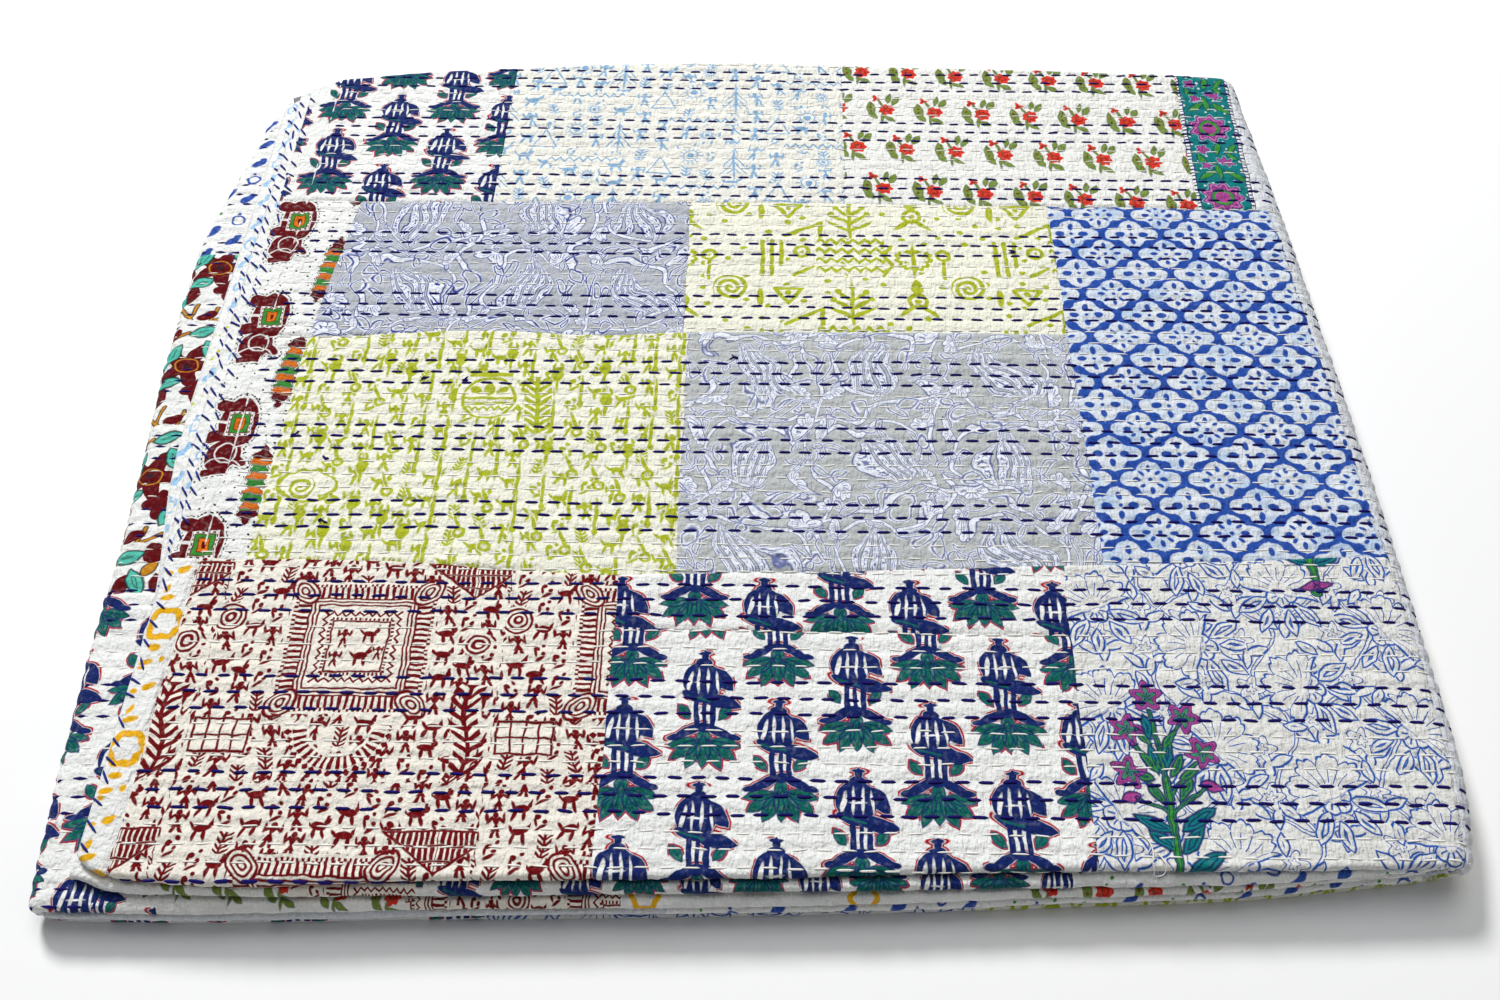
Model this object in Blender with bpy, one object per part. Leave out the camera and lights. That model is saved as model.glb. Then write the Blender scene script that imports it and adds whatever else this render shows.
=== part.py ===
"""A kantha quilt, folded flat: twelve plies in three packs.

The cloth is one piece. It is folded back and forth along its length, which makes a pack of
four plies, A at the top to D, with two round lips at the front: A turns into B, and C into D.
That pack is then folded in three across its width: the left third goes over the middle third,
and the right third over both. The left third lies a little outside the top one's hem, and the
far left corner is pulled in.

X runs to the right, Y away from the front lips and Z up. The origin is under the middle
of the quilt's box. Sizes are in millimetres and are turned to metres in the mesh.
"""

from math import cos, pi, radians, sin

import bmesh
import bpy
import numpy as np

METRES = 0.001

# The cloth, and the size of one panel once it is folded
PANEL_WIDTH, PANEL_DEPTH = 762.0, 686.0
CLOTH = 2.2  # thickness of one quilted ply
PLY_PITCH = 3.05  # from the middle of one ply to the next in a pack
PACK_PITCH = 12.4  # from the middle of one pack to the next
PACK_HALF = 1.5 * PLY_PITCH + CLOTH / 2

# The quilting: lines of running stitch along X, with the cloth raised between them
ROW_PITCH = 10.4
ROW_RISE = 0.45
ROW_SINK = 0.2
QUILTED = 2 * round(PANEL_DEPTH / ROW_PITCH)  # faces along the quilted ply: two for each line

# Heights of the packs' middles
LOW, MIDDLE, HIGH = (PACK_HALF + i * PACK_PITCH for i in range(3))
LEFT_RADIUS = PACK_PITCH / 2
RIGHT_RADIUS = PACK_PITCH

# The hem along the top pack's free edge
HEM_WIDTH = 19.0
HEM_GROOVE = 0.8
HEM_STAGGER = {"A": 0.0, "B": 9.0, "C": 15.0, "D": 22.0}  # how far each ply slips out at the back
HEM_STAGGER_FROM, HEM_STAGGER_TO = 110.0, 300.0

# Edges of the folded quilt. Each row is a place along the edge, and how far out the edge lies there.
LEFT_FOLD = ((-24, -47), (4, -50), (115, -59), (232, -64), (361, -75), (439, -78), (485, -79), (544, -70),
             (608, -60), (654, -53))  # (y, x)
RIGHT_FOLD = ((0, 740), (45, 750), (140, 753), (340, 752), (537, 747), (680, 741))  # (y, x)
HEM_AT_FRONT, HEM_AT_BACK = -19.0, -22.0  # the top pack's free edge, a straight line between them
TOP_LIP = ((-19, -2), (-5, -10), (12, -13), (50, -15), (184, -11), (319, -8), (508, -2), (652, 1),
           (735, 4))  # (x, y)
SECOND_LIP = ((-19, -11), (-6, -15), (49, -18), (157, -17), (319, -14), (508, -8), (653, -3),
              (735, 6))  # (x, y)
THIRD_LIP = ((-58, -24), (-46, -25), (11, -26), (157, -23), (319, -19), (509, -12), (655, -3), (695, 2),
             (735, 7))  # (x, y)
LIP_SLIP = {"middle upper": 0.0, "middle lower": -1.5, "low upper": -0.5, "low lower": 1.0}  # past the third
BACK_EDGE = ((-62, 622), (-44, 634), (-25, 646), (-6, 657), (18, 663), (43, 667), (87, 673), (145, 677),
             (245, 685), (463, 684), (630, 678), (737, 673))  # (x, y)
BACK_TUCK = {"low": 3.0, "middle": 2.0, "high": 0.0}  # how far each pack stops short of that edge

LEFT_MIDDLE, RIGHT_MIDDLE = -46.0, 734.0  # about where the two folds are centred

# Where the sections stand along each pack, as shares of its length
HIGH_STATIONS = (0.0, HEM_WIDTH / PANEL_WIDTH, 0.034, 0.09, 0.25, 0.45, 0.65, 0.85, 1.0)
LOW_STATIONS = (1.0, 0.66, 0.33, 0.12, 0.05, 0.0)
MIDDLE_STATIONS = (0.0, 0.035, 0.11, 0.42, 1.0)
HIDDEN_FROM = 0.11  # the middle pack is under the top one from this share on
MIDDLE_END = 716.0  # where the left third's free edge lies, inside the right fold
RIGHT_ANGLES = tuple(radians(a) for a in (36, 72, 108, 144))
LEFT_ANGLES = tuple(radians(a) for a in (45, 90, 135))

# Slow waves of the top, from plies that don't lie quite flat
WAVE_RISE = 1.3
WAVE_X, WAVE_Y, WAVE_SLANT = 118.0, 97.0, 143.0  # the waves' lengths, over a whole turn in radians
WAVE_MIX = 0.6  # how strong the slanting wave is beside the other two
RUN_STEPS = 4  # faces along a plain run, from its front to its back
LIP_STEPS = 5  # faces round a front lip
FOLD_STEPS = 4  # faces round the fold at the back


def along(table, place):
    """The edge's distance at a place, on a smooth curve through the table's rows."""
    keys = np.array([row[0] for row in table], float)
    values = np.array([row[1] for row in table], float)
    place = float(np.clip(place, keys[0], keys[-1]))
    slopes = np.gradient(values, keys)
    i = int(np.clip(np.searchsorted(keys, place) - 1, 0, len(keys) - 2))
    step = keys[i + 1] - keys[i]
    t = (place - keys[i]) / step
    return float(
        (2 * t**3 - 3 * t**2 + 1) * values[i]
        + (t**3 - 2 * t**2 + t) * step * slopes[i]
        + (3 * t**2 - 2 * t**3) * values[i + 1]
        + (t**3 - t**2) * step * slopes[i + 1]
    )


def ease(value, start, end):
    """0 before start, 1 after end, and a smooth climb between."""
    t = min(max((value - start) / (end - start), 0.0), 1.0)
    return t * t * (3 - 2 * t)


def arc(middle, radius, start, end, steps):
    """Points of an arc in the section, as (share of depth, own depth, height, ply)."""
    share, height, ply = middle
    turns = (start + (end - start) * i / steps for i in range(steps + 1))
    return [(share, radius * cos(a), height + radius * sin(a), ply) for a in turns]


def run(ply, height, start, end, steps):
    """Points of a straight ply in the section, its ends left out."""
    return [(start + (end - start) * i / steps, 0.0, height, ply) for i in range(1, steps)]


def section():
    """The outline of one pack of four plies: (share of depth, own depth, height, ply).

    It goes along the cloth's outer side, from the hem of A at the back to the hem of D, and
    comes back along the other side.
    """
    half, pitch = CLOTH / 2, PLY_PITCH
    outside, inside = pitch / 2 + half, pitch / 2 - half
    top = 1.5 * pitch + half
    upper, back, lower = (0.0, pitch, "A"), (1.0, 0.0, "C"), (0.0, -pitch, "D")
    points = [(1.0, 0.0, top, "A")]
    points += run("top", top, 1.0, 0.0, QUILTED)
    points += arc(upper, outside, pi / 2, 3 * pi / 2, LIP_STEPS)
    points += run("B", inside, 0.0, 1.0, RUN_STEPS)
    points += arc(back, inside, pi / 2, -pi / 2, FOLD_STEPS)
    points += run("C", -inside, 1.0, 0.0, RUN_STEPS)
    points += arc(lower, outside, pi / 2, 3 * pi / 2, LIP_STEPS)
    points += run("D", -top, 0.0, 1.0, RUN_STEPS)
    points += [(1.0, 0.0, -top, "D"), (1.0, 0.0, CLOTH - top, "D")]
    points += run("D", CLOTH - top, 1.0, 0.0, RUN_STEPS)
    points += arc(lower, inside, 3 * pi / 2, pi / 2, LIP_STEPS)
    points += run("C", -outside, 0.0, 1.0, RUN_STEPS)
    points += arc(back, outside, -pi / 2, pi / 2, FOLD_STEPS)
    points += run("B", outside, 1.0, 0.0, RUN_STEPS)
    points += arc(upper, inside, 3 * pi / 2, pi / 2, LIP_STEPS)
    points += run("A", top - CLOTH, 0.0, 1.0, RUN_STEPS)
    points += [(1.0, 0.0, top - CLOTH, "A")]
    return points


def lip_front(x, ply, level):
    """How far out the lip that ply turns round reaches at x, in one of the packs."""
    if level == "high":
        return along(TOP_LIP if ply in ("top", "A", "B") else SECOND_LIP, x)
    place = "upper" if ply in ("top", "A", "B") else "lower"
    return along(THIRD_LIP, x) + LIP_SLIP[f"{level} {place}"]


def front_and_back(x_front, x_back, ply, shares):
    """Where a ply's lip is centred at the front and where the ply ends at the back.

    x_front and x_back are its places across the quilt there, and shares says how far it belongs
    to each of the packs.
    """
    front = sum(share * lip_front(x_front, ply, level) for level, share in shares.items())
    tuck = sum(share * BACK_TUCK[level] for level, share in shares.items())
    reach = PLY_PITCH / 2 + CLOTH / 2
    return front + reach, along(BACK_EDGE, x_back) - tuck - reach


def ripple(share, strength):
    """How far the quilting raises the outer ply: down at a line of stitches and up between two."""
    return strength * (ROW_RISE if round(share * QUILTED) % 2 else -ROW_SINK)


def wave(x, y):
    """A slow rise and fall of the top pack, never below its flat place."""
    swell = sin(x / WAVE_X + 0.6) * sin(y / WAVE_Y + 1.1) + WAVE_MIX * sin((x + 1.7 * y) / WAVE_SLANT)
    return WAVE_RISE * (0.5 + 0.5 * swell / (1 + WAVE_MIX))


def hem_end(y, ply):
    """Where the top pack's free edge lies, further out at the back for the lower plies."""
    slip = HEM_STAGGER[ply] * ease(y, HEM_STAGGER_FROM, HEM_STAGGER_TO)
    return HEM_AT_FRONT + (HEM_AT_BACK - HEM_AT_FRONT) * y / PANEL_DEPTH - slip


def left_centre(y):
    return along(LEFT_FOLD, y) + LEFT_RADIUS + PACK_HALF


def right_centre(y):
    return along(RIGHT_FOLD, y) - RIGHT_RADIUS - PACK_HALF


def flat_ring(outline, level, share):
    """A section across one of the packs where it lies flat, at a share of the way from its left end."""
    ring = []
    for depth, own, height, ply in outline:
        end = "A" if ply == "top" else ply
        if level == "high":
            starts = HEM_AT_FRONT, HEM_AT_BACK - HEM_STAGGER[end]
            places = [start + share * (RIGHT_MIDDLE - start) for start in starts]
        else:
            places = [LEFT_MIDDLE + share * (RIGHT_MIDDLE - LEFT_MIDDLE)] * 2
        front, back = front_and_back(*places, ply, {level: 1.0})
        y = front + depth * (back - front) + own
        left = hem_end(y, end) if level == "high" else left_centre(y)
        right = MIDDLE_END if level == "middle" else right_centre(y)
        x = left + share * (right - left)
        if level == "low":
            ring.append((x, y, LOW - height))
            continue
        base = MIDDLE if level == "middle" else HIGH
        shows = 1.0 if level == "high" else 1 - ease(share, 0.06, HIDDEN_FROM)
        if ply == "top":
            height += ripple(depth, shows)
        if level == "high":
            base += wave(x, y) * (1 - ease(share, 0.9, 1.0))
            if share == HIGH_STATIONS[1] and ply == "top":
                height -= HEM_GROOVE
        ring.append((x, y, base + height))
    return ring


def fold_ring(outline, side, angle):
    """A section across a fold, at an angle that goes from the low pack round to the upper one."""
    turned = angle / pi
    place, upper = RIGHT_MIDDLE, "high"
    if side == "left":
        place, upper = LEFT_MIDDLE - (LEFT_RADIUS + PACK_HALF) * sin(angle), "middle"
    shows = ease(turned, 0.0, 0.5)
    ring = []
    for depth, own, height, ply in outline:
        front, back = front_and_back(place, place, ply, {upper: turned, "low": 1 - turned})
        y = front + depth * (back - front) + own
        if ply == "top":
            height += ripple(depth, shows)
        if side == "left":
            radius = LEFT_RADIUS + height
            ring.append((left_centre(y) - radius * sin(angle), y, LOW + LEFT_RADIUS - radius * cos(angle)))
        else:
            radius = RIGHT_RADIUS + height
            ring.append((right_centre(y) + radius * sin(angle), y, LOW + RIGHT_RADIUS - radius * cos(angle)))
    return ring


def rings():
    """The sections in order, from the top hem round both folds to the middle pack's hidden end.

    Each comes with whether ply A is smooth there, as it is underneath and where it is hidden.
    """
    outline = section()
    found = [(flat_ring(outline, "high", share), False) for share in HIGH_STATIONS]
    found += [(fold_ring(outline, "right", angle), False) for angle in reversed(RIGHT_ANGLES)]
    found += [(flat_ring(outline, "low", share), True) for share in LOW_STATIONS]
    found += [(fold_ring(outline, "left", angle), False) for angle in LEFT_ANGLES]
    found += [(flat_ring(outline, "middle", share), share >= HIDDEN_FROM) for share in MIDDLE_STATIONS]
    return np.array([ring for ring, _ in found]), [smooth for _, smooth in found]


def close_end(bm, loop):
    """Closes the cut end of a pack: one long face on the quilted ply A, and a ladder along the rest."""
    steps = (len(loop) - QUILTED - RUN_STEPS - 1) // 2
    near = loop[QUILTED : QUILTED + steps + 1]
    far = loop[QUILTED + steps + 1 : QUILTED + 2 * steps + 2][::-1]
    for i in range(steps):
        bm.faces.new((near[i], near[i + 1], far[i + 1], far[i]))
    bm.faces.new(loop[: QUILTED + 1] + loop[QUILTED + 2 * steps + 1 :])


def smooth_faces(bm, loops, smooth):
    """One flat face on ply A for each stretch of sections where it is smooth."""
    start = 0
    while start < len(loops):
        if not smooth[start]:
            start += 1
            continue
        end = start
        while end + 1 < len(loops) and smooth[end + 1]:
            end += 1
        side = [loop[QUILTED] for loop in loops[start + 1 : end]]
        other_side = [loop[0] for loop in loops[start + 1 : end]]
        bm.faces.new(loops[start][: QUILTED + 1] + side + loops[end][QUILTED::-1] + other_side[::-1])
        start = end + 1


def quilt_mesh(name):
    """Lofts the sections into one closed solid, with its faces pointing out."""
    places, smooth = rings()
    low, high = places.min(axis=(0, 1)), places.max(axis=(0, 1))
    places -= ((low[0] + high[0]) / 2, (low[1] + high[1]) / 2, low[2])
    places *= METRES
    bm = bmesh.new()
    loops = [[bm.verts.new(point) for point in ring] for ring in places]
    count = len(loops[0])
    for k in range(len(loops) - 1):
        one, other = loops[k], loops[k + 1]
        for i in range(QUILTED if smooth[k] and smooth[k + 1] else 0, count):
            j = (i + 1) % count
            bm.faces.new((one[i], one[j], other[j], other[i]))
    smooth_faces(bm, loops, smooth)
    close_end(bm, loops[0])
    close_end(bm, loops[-1])
    loose = [v for v in bm.verts if not v.link_faces]
    bmesh.ops.delete(bm, geom=loose, context="VERTS")
    bmesh.ops.triangulate(bm, faces=bm.faces, ngon_method="EAR_CLIP")
    bmesh.ops.recalc_face_normals(bm, faces=bm.faces)
    mesh = bpy.data.meshes.new(name)
    bm.to_mesh(mesh)
    bm.free()
    return mesh


def cotton():
    """Printed cotton, near its mean colour."""
    material = bpy.data.materials.new("printed_cotton")
    material.use_nodes = True
    shader = material.node_tree.nodes["Principled BSDF"]
    shader.inputs["Base Color"].default_value = (0.62, 0.62, 0.60, 1.0)
    shader.inputs["Roughness"].default_value = 0.9
    shader.inputs["Metallic"].default_value = 0.0
    return material


def main():
    for old in list(bpy.data.objects):
        bpy.data.objects.remove(old, do_unlink=True)
    parts = bpy.data.collections.new("kantha_quilt")
    bpy.context.scene.collection.children.link(parts)
    quilt = bpy.data.objects.new("quilt", quilt_mesh("quilt"))
    quilt.data.materials.append(cotton())
    parts.objects.link(quilt)


main()
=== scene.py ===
"""The looks of a folded kantha quilt: printed patches, quilted relief and hand stitching.

The cloth lies in its solid's own folds. Places on it are (u, v) in millimetres: u runs to the
right along the quilting and goes on round the folds, and v runs from the front to the back
and goes on round a front lip. Zero is where the hem's crease meets the front.
"""

from math import cos, pi, radians, sin

import bpy
import numpy as np
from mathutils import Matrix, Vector


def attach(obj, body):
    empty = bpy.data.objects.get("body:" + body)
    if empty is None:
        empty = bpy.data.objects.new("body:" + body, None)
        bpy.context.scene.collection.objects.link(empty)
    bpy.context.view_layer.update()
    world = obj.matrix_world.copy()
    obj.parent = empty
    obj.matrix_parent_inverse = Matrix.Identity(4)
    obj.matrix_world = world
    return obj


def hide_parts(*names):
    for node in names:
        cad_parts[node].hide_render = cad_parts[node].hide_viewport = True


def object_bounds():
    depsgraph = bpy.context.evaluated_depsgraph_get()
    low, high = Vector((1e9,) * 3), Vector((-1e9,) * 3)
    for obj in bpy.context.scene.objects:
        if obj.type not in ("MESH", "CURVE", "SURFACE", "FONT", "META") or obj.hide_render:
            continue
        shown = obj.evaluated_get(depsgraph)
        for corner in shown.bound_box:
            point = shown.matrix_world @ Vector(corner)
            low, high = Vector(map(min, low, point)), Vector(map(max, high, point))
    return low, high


bl_info = {
    "name": "Kantha Quilt",
    "version": (1, 0, 0),
    "blender": (4, 5, 0),
    "location": "3D View > Sidebar > Quilt",
    "description": "Dresses a folded kantha quilt with patches, quilting and stitches",
    "category": "Object",
}

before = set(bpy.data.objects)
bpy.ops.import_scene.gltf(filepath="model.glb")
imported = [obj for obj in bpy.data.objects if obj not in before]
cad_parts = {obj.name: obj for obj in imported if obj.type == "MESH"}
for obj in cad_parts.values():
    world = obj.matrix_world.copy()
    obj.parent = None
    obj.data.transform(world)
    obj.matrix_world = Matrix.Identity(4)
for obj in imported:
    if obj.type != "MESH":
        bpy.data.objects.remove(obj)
CAD_LOW, CAD_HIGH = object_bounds()

MM = 0.001
SEED = 11

# The cloth's plies and packs, as in the solid
CLOTH = 2.2  # thickness of one ply
PLY_PITCH = 3.05
PACK_PITCH = 12.4
LIP_RADIUS = PLY_PITCH / 2 + CLOTH / 2  # the outer radius of a front lip
PACK_HALF = 1.5 * PLY_PITCH + CLOTH / 2
LOW = PACK_HALF  # the height of the lowest pack's middle
LEFT_RADIUS, RIGHT_RADIUS = PACK_PITCH / 2, PACK_PITCH
LEFT_OUTSIDE, RIGHT_OUTSIDE = LEFT_RADIUS + PACK_HALF, RIGHT_RADIUS + PACK_HALF

# Edges of the folded quilt: each row is a place along the edge, and how far out the edge lies there
LEFT_FOLD = ((-24, -47), (4, -50), (115, -59), (232, -64), (361, -75), (439, -78), (485, -79), (544, -70),
             (608, -60), (654, -53))  # (v, x)
RIGHT_FOLD = ((0, 740), (45, 750), (140, 753), (340, 752), (537, 747), (680, 741))  # (v, x)
TOP_LIP = ((-19, -2), (-5, -10), (12, -13), (50, -15), (184, -11), (319, -8), (508, -2), (652, 1),
           (735, 4))  # (x, y)
SECOND_LIP = ((-19, -11), (-6, -15), (49, -18), (157, -17), (319, -14), (508, -8), (653, -3),
              (735, 6))  # (x, y)
THIRD_LIP = ((-58, -24), (-46, -25), (11, -26), (157, -23), (319, -19), (509, -12), (655, -3), (695, 2),
             (735, 7))  # (x, y)
MIDDLE_UNDER_SLIP, LOW_SLIP, LOW_UNDER_SLIP = -1.5, -0.5, 1.0  # the other lips, past the third
BACK_EDGE = ((-62, 622), (-44, 634), (-25, 646), (-6, 657), (18, 663), (43, 667), (87, 673), (145, 677),
             (245, 685), (463, 684), (630, 678), (737, 673))  # (x, y)
LOW_TUCK, MIDDLE_TUCK = 3.0, 2.0  # how far those packs stop short of the back edge
HEM_AT_FRONT, HEM_AT_BACK, DEPTH = -19.0, -22.0, 686.0
HEM_STAGGER = {"A": 0.0, "B": 9.0, "C": 15.0, "D": 22.0}
STAGGER_FROM, STAGGER_TO = 110.0, 300.0
LEFT_MIDDLE, RIGHT_MIDDLE, MIDDLE_END = -46.0, 734.0, 716.0
WAVE_RISE, WAVE_MIX = 1.3, 0.6
WAVE_X, WAVE_Y, WAVE_SLANT = 118.0, 97.0, 143.0
WAVE_FADES = 650, 734  # u between which the wave dies out

# From the places here to the frame, whose zero is under the middle of the quilt's box
OUTERMOST_LEFT, FOREMOST = -79.675, -27.326
ORIGIN_X = CAD_LOW[0] / MM - OUTERMOST_LEFT
ORIGIN_Y = CAD_LOW[1] / MM - FOREMOST

# Quilting: lines of running stitch in sixes, three in navy thread and three in white
# v of each six's middle navy line
NAVY_MIDDLES = (-87, -25, 37, 97, 163, 224, 286, 344, 406, 469, 532, 598, 660, 722)
FIRST_SIX, LAST_SIX, LINES_IN_SIX = -2, 11, 6
STITCH_PITCH = 13.5
STITCH_LENGTH = 9.1


def curve(table, places):
    """The edge's distance at each place, on a smooth curve through the table's rows."""
    keys, values = np.array(table, float).T
    places = np.clip(places, keys[0], keys[-1])
    slopes = np.gradient(values, keys)
    i = np.clip(np.searchsorted(keys, places) - 1, 0, len(keys) - 2)
    step = keys[i + 1] - keys[i]
    t = (places - keys[i]) / step
    start, end = values[i], values[i + 1]
    return (
        (2 * t**3 - 3 * t**2 + 1) * start
        + (t**3 - 2 * t**2 + t) * step * slopes[i]
        + (3 * t**2 - 2 * t**3) * end
        + (t**3 - t**2) * step * slopes[i + 1]
    )


def ease(value, start, end):
    """0 before start, 1 after end, and a smooth climb between."""
    t = np.clip((value - start) / (end - start), 0, 1)
    return t * t * (3 - 2 * t)


def noise(u, v, step_u, step_v, seed):
    """Smooth unevenness from -1 to 1 that changes over step_u and step_v."""
    lattice = np.random.default_rng(seed).uniform(-1, 1, (257, 257))
    a, b = u / step_u + 64, v / step_v + 64
    i, j = np.floor(a).astype(int), np.floor(b).astype(int)
    s, t = a - i, b - j
    s, t = s * s * (3 - 2 * s), t * t * (3 - 2 * t)
    i, j = i % 256, j % 256
    near = lattice[i, j] * (1 - s) + lattice[i + 1, j] * s
    far = lattice[i, j + 1] * (1 - s) + lattice[i + 1, j + 1] * s
    return near * (1 - t) + far * t


def wave(x, y):
    """A slow rise and fall of the top pack."""
    swell = np.sin(x / WAVE_X + 0.6) * np.sin(y / WAVE_Y + 1.1)
    swell = swell + WAVE_MIX * np.sin((x + 1.7 * y) / WAVE_SLANT)
    return WAVE_RISE * (0.5 + 0.5 * swell / (1 + WAVE_MIX))


def hem_edge(v, ply="A"):
    """Where the top pack's free edge lies on one of its plies."""
    slipped = HEM_STAGGER[ply] * ease(v, STAGGER_FROM, STAGGER_TO)
    return HEM_AT_FRONT + (HEM_AT_BACK - HEM_AT_FRONT) * v / DEPTH - slipped


def left_centre(y):
    """x of the left fold's axis."""
    return curve(LEFT_FOLD, y) + LEFT_OUTSIDE


def right_centre(y):
    """x of the right fold's axis."""
    return curve(RIGHT_FOLD, y) - RIGHT_OUTSIDE


def pack_shares(home, u):
    """How far a place belongs to the high, middle and low pack, and its place across the quilt."""
    right = np.clip((u - RIGHT_MIDDLE) / (pi * RIGHT_OUTSIDE), 0, 1)
    left = np.clip((LEFT_MIDDLE - u) / (pi * LEFT_OUTSIDE), 0, 1)
    past_right = np.maximum(u - RIGHT_MIDDLE - pi * RIGHT_OUTSIDE, 0)
    past_left = np.maximum(LEFT_MIDDLE - u - pi * LEFT_OUTSIDE, 0)
    across = np.clip(u, LEFT_MIDDLE, RIGHT_MIDDLE) - past_right + past_left
    across = across - LEFT_OUTSIDE * np.sin(pi * left)
    if home == "top":
        return (1 - right, 0 * u, right), across
    if home == "left":
        return (0 * u, 1 - left, left), across
    return (right, left, 1 - right - left), across


def lip_centre(home, u, under=False):
    """Where the middle of a front lip lies. under picks the lip between the two lower plies."""
    (high, middle, low), across = pack_shares(home, u)
    third = curve(THIRD_LIP, across)
    if under:
        fronts = curve(SECOND_LIP, across), third + MIDDLE_UNDER_SLIP, third + LOW_UNDER_SLIP
    else:
        fronts = curve(TOP_LIP, across), third, third + LOW_SLIP
    return high * fronts[0] + middle * fronts[1] + low * fronts[2] + LIP_RADIUS


def back_end(home, u):
    """Where a ply ends at the back."""
    (_, middle, low), across = pack_shares(home, u)
    return curve(BACK_EDGE, across) - middle * MIDDLE_TUCK - low * LOW_TUCK - LIP_RADIUS


def round_folds(home, u, y, height):
    """Turns a place across a pack, and its height in it, into x and z round the quilt's folds."""
    right, left = right_centre(y), left_centre(y)
    if home == "top":
        turn = np.clip((u - right) / RIGHT_OUTSIDE, 0, pi)
        past = np.maximum(u - right - pi * RIGHT_OUTSIDE, 0)
        radius = RIGHT_RADIUS + height
        x = np.where(turn > 0, right + radius * np.sin(turn), u) - past
        lift = wave(x, y) * (1 - ease(u, *WAVE_FADES))
        return x, LOW + RIGHT_RADIUS + radius * np.cos(turn) + lift
    if home == "left":
        turn = np.clip((left - u) / LEFT_OUTSIDE, 0, pi)
        past = np.maximum(left - u - pi * LEFT_OUTSIDE, 0)
        radius = LEFT_RADIUS + height
        x = np.where(turn > 0, left - radius * np.sin(turn), u) + past
        return x, LOW + LEFT_RADIUS + radius * np.cos(turn)
    over_right = np.clip((u - right) / RIGHT_OUTSIDE, 0, pi)
    over_left = np.clip((left - u) / LEFT_OUTSIDE, 0, pi)
    x = np.where(over_right > 0, right + (RIGHT_RADIUS + height) * np.sin(over_right), u)
    x = np.where(over_left > 0, left - (LEFT_RADIUS + height) * np.sin(over_left), x)
    z = LOW - height + (RIGHT_RADIUS + height) * (1 - np.cos(over_right))
    return x, z + (LEFT_RADIUS + height) * (1 - np.cos(over_left))


def in_frame(x, y, z):
    """Points in metres in the frame, from the cloth's own millimetres."""
    return np.stack((x + ORIGIN_X, y + ORIGIN_Y, z), axis=-1) * MM


def lay(home, u, v, rise, under=False):
    """Where points of the cloth's printed side lie, in metres in the frame.

    home is the pack that u is measured on, rise is how far a point stands above the cloth, and
    under is for the strip of cloth round a pack's lower lip.
    """
    u, v, rise = np.broadcast_arrays(u, v, rise)
    centre = lip_centre(home, u, under)
    angle = np.clip((centre - v) / LIP_RADIUS, 0, pi)
    beyond = np.maximum(centre - v - pi * LIP_RADIUS, 0)
    y = np.where(angle > 0, centre - (LIP_RADIUS + rise) * np.sin(angle), v) + beyond
    height = (-PLY_PITCH if under else PLY_PITCH) + (LIP_RADIUS + rise) * np.cos(angle)
    x, z = round_folds(home, u, y, height)
    return in_frame(x, y, z)


def lay_flat(home, u, v, height):
    """Where points of a pack's inner plies lie, at a height from the pack's middle."""
    u, v, height = np.broadcast_arrays(u, v, height)
    x, z = round_folds(home, u, v, height)
    return in_frame(x, v, z)


SIXES = np.arange(FIRST_SIX * LINES_IN_SIX, LAST_SIX * LINES_IN_SIX) / LINES_IN_SIX
LINES = curve(list(enumerate(NAVY_MIDDLES, FIRST_SIX)), SIXES)  # v of each line
NAVY = np.isin(np.arange(len(LINES)) % LINES_IN_SIX, (LINES_IN_SIX - 1, 0, 1))


def row_wander(u, row):
    """How far a line of stitches strays from straight."""
    slow = 0.9 * noise(u, row * 7.0, 85.0, 10.0, SEED + 1)
    return slow + 0.35 * noise(u, row * 5.0, 23.0, 5.0, SEED + 2)


LINE_WIDTH = 2.6  # how far from a line of stitches the cloth has mostly risen
LEAST_RISE, CLEARANCE = 0.05, 0.25


def near_line(distance, width):
    """1 on a line, and less the farther off it."""
    return np.exp(-((distance / width) ** 2))


def rolled(inwards, width):
    """How far an edge is rolled down: 1 at the edge itself and 0 past the width."""
    return (1 - np.clip(inwards / width, 0, 1)) ** 2


def relief(u, v):
    """The quilting: the cloth sinks at each line of stitches, puffs up between two, and puckers."""
    nearest = np.round(np.interp(v, LINES, np.arange(len(LINES)))).astype(int)
    off = v - LINES[nearest] - row_wander(u, nearest)
    puff = 1 - near_line(off, LINE_WIDTH)
    full = 0.8 + 0.3 * noise(u, v, 21.0, 12.0, SEED + 3)
    pucker = 0.4 * noise(u, v, 5.2, 9.0, SEED + 4) + 0.24 * noise(u, v, 3.4, 6.0, SEED + 5)
    slack = 0.35 * noise(u, v, 46.0, 30.0, SEED + 6)
    return LEAST_RISE + full * puff + pucker * (0.35 + 0.65 * puff) + slack * puff + CLEARANCE


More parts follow.
